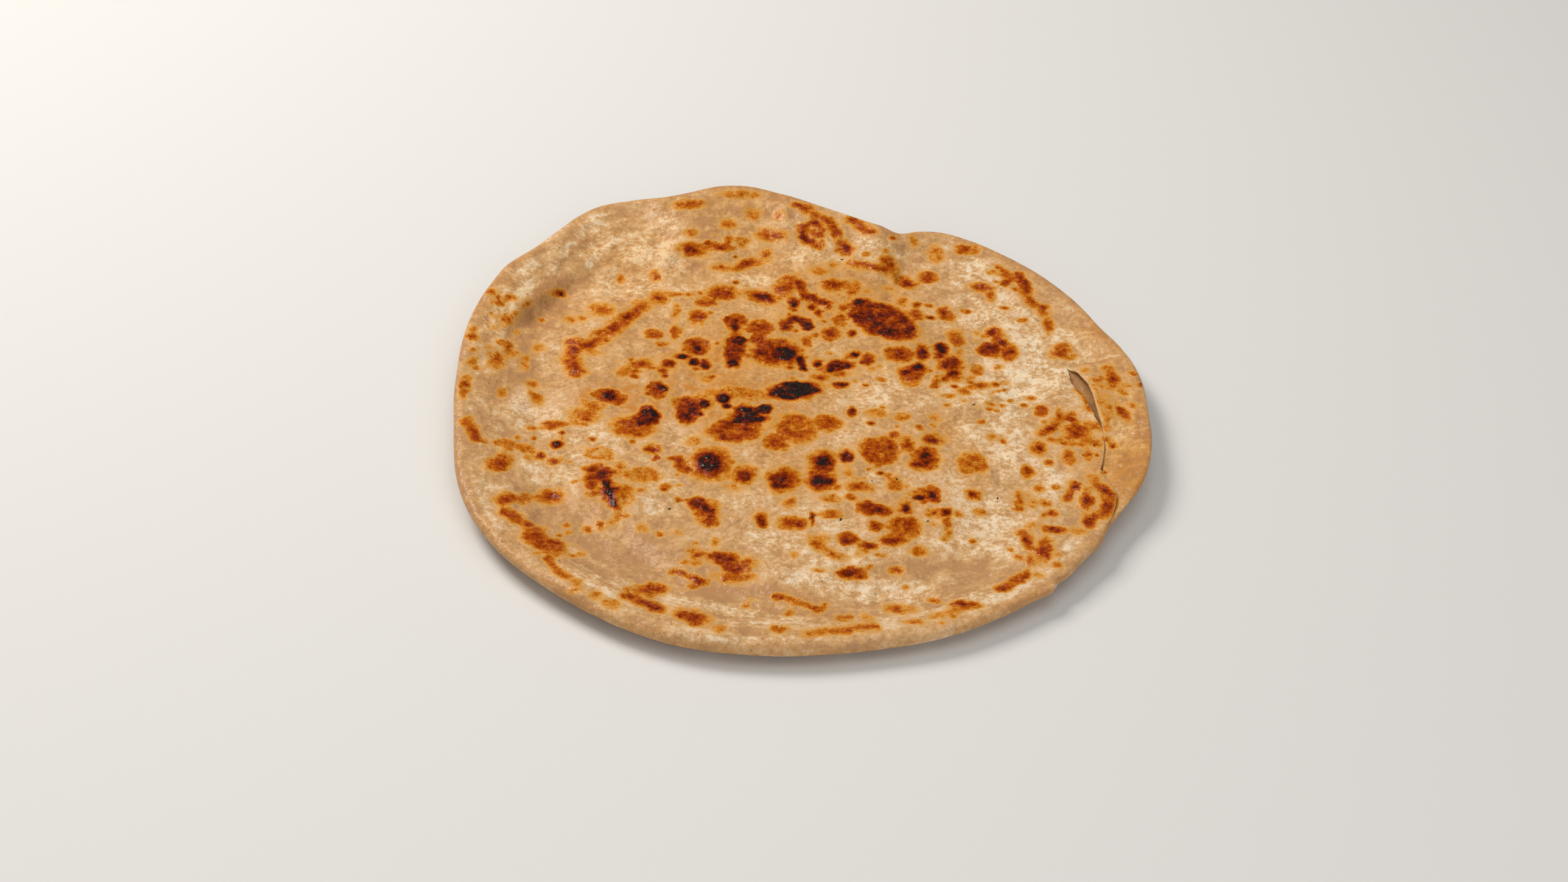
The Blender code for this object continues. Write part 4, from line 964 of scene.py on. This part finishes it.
dough = mix(calc("MULTIPLY", yellow, 0.75), dough, mix(1.0, dough, tone("#F8DB98"), "MULTIPLY"))
uneven_glow = rise(calc("ADD", middle, centred(broad, 0.8)), 0.3, 0.7, 0.15, 0.95)
dough = mix(calc("MULTIPLY", field("glow"), uneven_glow), dough, tone("#BE7E34"))
BRAN_SPACING = 2.6
dots = add(tree, "ShaderNodeTexVoronoi", {"Vector": place, "Scale": 1 / (BRAN_SPACING * MM)})
picked = rise(add(tree, "ShaderNodeSeparateColor", {0: dots.outputs["Color"]}).outputs[0], 0.40, 0.50)
bran = calc("MULTIPLY", rise(dots.outputs["Distance"], 0.13, 0.05), picked)
dough = mix(calc("MULTIPLY", bran, 0.7), dough, tone("#7A4A26"))

# Browning: the painted amount, roughened by noise, then golden, orange brown, dark brown and char.
cooked_and_hole_shade = calc("ADD", field("toast_and_hole_shade"), calc("MULTIPLY", yellow, 0.08))
strength = rise(cooked_and_hole_shade, 0.04, 0.42, 0.10, 1.0)
rough_edge = calc("ADD", centred(small, 0.50), calc("ADD", centred(grain, 0.50), centred(middle, 0.40)))
crackle = calc("MULTIPLY", calc("ADD", centred(small, 0.8), centred(middle, 0.6)),
               rise(cooked_and_hole_shade, 0.90, 1.10))
cooked_and_hole_shade = calc("ADD", calc("ADD", cooked_and_hole_shade, calc("MULTIPLY", rough_edge, strength)), crackle)
baked = ramp(calc("MULTIPLY", cooked_and_hole_shade, 0.75), [
    (0.08, "#D9A862"), (0.19, "#CE903C"), (0.28, "#C07618"), (0.36, "#B25E06"), (0.45, "#A04602"),
    (0.54, "#882E00"), (0.62, "#6C1E02"), (0.70, "#4C1306"), (0.80, "#2A0D07"), (0.93, "#120605")])
skin = mix(rise(cooked_and_hole_shade, 0.03, 0.32), dough, baked)
# Crumb inside the tear: pale on the torn edges, and darker on the pocket floor as painted shade.
crumb_and_floor_shade = mix(rise(field("inside"), 0.3, 0.9), mix(middle, tone("#C08A4C"), tone("#E2BE8C")), tone("#A87C4E"))
skin = mix(rise(field("inside"), 0.02, 0.25), skin, crumb_and_floor_shade)
add_to = shader.inputs
tree.links.new(skin, add_to["Base Color"])

# Surface: fine pores, blistered where charred, on slow waves; butter lies over it as a thin coat.
char = rise(cooked_and_hole_shade, 0.85, 1.15)
gloss = calc("ADD", rise(dryness_and_painted_light, 0.2, 0.8, 0.36, 0.60), rise(cooked_and_hole_shade, 0.2, 0.6, 0.0, -0.16))
tree.links.new(calc("ADD", gloss, centred(small, 0.25)), add_to["Roughness"])
height = calc("ADD", calc("MULTIPLY", grain, calc("ADD", calc("MULTIPLY", char, 0.6), 0.35)),
              calc("MULTIPLY", small, calc("ADD", calc("MULTIPLY", char, 1.2), 0.45)))
waves = add(tree, "ShaderNodeBump", {"Height": calc("ADD", noise(6.0, 1.0), calc("MULTIPLY", middle, 0.4)),
                                     "Distance": 1.4 * MM})
pores = add(tree, "ShaderNodeBump", {"Height": height, "Distance": 0.35 * MM, "Strength": 1.0,
                                     "Normal": waves.outputs["Normal"]})
tree.links.new(pores.outputs["Normal"], add_to["Normal"])
tree.links.new(rise(cooked_and_hole_shade, 0.1, 0.5, 0.11, 0.05), add_to["Specular IOR Level"])
butter = calc("ADD", rise(dryness_and_painted_light, 0.6, 0.2, 0.0, 0.10), calc("MULTIPLY", char, 0.35))
butter = calc("ADD", butter, calc("MULTIPLY", field("near_rim"), 0.08))
tree.links.new(butter, add_to["Coat Weight"])
add_to["Coat Roughness"].default_value = 0.14
film = add(tree, "ShaderNodeBump", {"Height": calc("ADD", middle, calc("MULTIPLY", small, 0.4)),
                                    "Distance": 0.9 * MM})
tree.links.new(film.outputs["Normal"], add_to["Coat Normal"])
add_to["Subsurface Weight"].default_value = 0.12
add_to["Subsurface Radius"].default_value = (1.0, 0.45, 0.2)
add_to["Subsurface Scale"].default_value = 1.5 * MM
bread_mesh.materials.append(crust)

# ---- Burnt crumbs ----
# Loose flour that burnt on the griddle and came away with the bread: a few black crumbs, up to 1.5 mm across,
# lying where they stuck. Geometry Nodes sets a small ball on each place, turned and sized by a fixed seed,
# and crumples it.

CRUMB_PLACES = [
    (36, -36.5), (28, -38), (18.3, -57.8), (45.5, -56.5), (68.3, -43.3), (100.9, -14.1), (17.2, 86.9),
    (9.8, -56.6), (9.8, -57.8), (-46.5, 70.5), (62, 5), (-35, -57),
]
CRUMB_MM = ((0.35, 0.18, 0.12), (0.75, 0.34, 0.24))     # smallest and largest half sizes
LUMP_MM = 0.5        # size and depth of the lumps that crumple them
seats = []
for cx, cy in CRUMB_PLACES:
    seats.append(points[np.argmin(np.hypot(seen_x[:top_count] - cx, seen_y[:top_count] - cy))])
seat_mesh = bpy.data.meshes.new("crumb_seats")
seat_mesh.from_pydata((np.array(seats) * MM).tolist(), [], [])
sower = put_in_scene("crumb_sower", seat_mesh)
# Burnt flour: brown black and dull, with no gloss of butter.
burnt, tree, shader = fresh_material("burnt_flour")
shader.inputs["Base Color"].default_value = tone("#17100D")
shader.inputs["Roughness"].default_value = 0.7

nodes = bpy.data.node_groups.new("burnt_crumbs", "GeometryNodeTree")
nodes.interface.new_socket("Geometry", in_out="INPUT", socket_type="NodeSocketGeometry")
least = nodes.interface.new_socket("Smallest", in_out="INPUT", socket_type="NodeSocketVector").identifier
most = nodes.interface.new_socket("Largest", in_out="INPUT", socket_type="NodeSocketVector").identifier
nodes.interface.new_socket("Geometry", in_out="OUTPUT", socket_type="NodeSocketGeometry")
given = add(nodes, "NodeGroupInput").outputs
ball = add(nodes, "GeometryNodeMeshIcoSphere", {"Radius": 1.0, "Subdivisions": 3}).outputs["Mesh"]
size = add(nodes, "FunctionNodeRandomValue", {0: given["Smallest"], 1: given["Largest"], "Seed": 3},
           data_type="FLOAT_VECTOR").outputs[0]
turned = add(nodes, "FunctionNodeRandomValue", {0: (0.0, 0.0, -1.2), 1: (0.0, 0.0, 1.2), "Seed": 5},
             data_type="FLOAT_VECTOR").outputs[0]
seated = {"Points": given["Geometry"], "Instance": ball, "Scale": size, "Rotation": turned}
sown = add(nodes, "GeometryNodeInstanceOnPoints", seated).outputs["Instances"]
loose = add(nodes, "GeometryNodeRealizeInstances", {"Geometry": sown}).outputs["Geometry"]
lumps = add(nodes, "ShaderNodeTexNoise", {"Scale": 1 / (LUMP_MM * MM), "Detail": 2.0}).outputs["Color"]
shove = add(nodes, "ShaderNodeVectorMath", {0: lumps, 1: (0.5, 0.5, 0.5)}, operation="SUBTRACT").outputs[0]
shove = add(nodes, "ShaderNodeVectorMath", {0: shove, "Scale": LUMP_MM * MM}, operation="SCALE").outputs[0]
loose = add(nodes, "GeometryNodeSetPosition", {"Geometry": loose, "Offset": shove}).outputs["Geometry"]
dark = add(nodes, "GeometryNodeSetMaterial", {"Geometry": loose, "Material": burnt}).outputs["Geometry"]
nodes.links.new(dark, add(nodes, "NodeGroupOutput").inputs["Geometry"])
sowing = sower.modifiers.new("sow", "NODES")
sowing.node_group = nodes
sowing[least] = tuple(v * MM for v in CRUMB_MM[0])
sowing[most] = tuple(v * MM for v in CRUMB_MM[1])
depsgraph = bpy.context.evaluated_depsgraph_get()
crumb_mesh = bpy.data.meshes.new_from_object(sower.evaluated_get(depsgraph), depsgraph=depsgraph)
sower.modifiers.clear()
bpy.data.objects.remove(sower)
crumb_mesh.materials.clear()         # the balls bring an empty slot with them
crumb_mesh.materials.append(burnt)
crumbs = put_in_scene("burnt_crumbs", crumb_mesh)
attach(crumbs, "root")
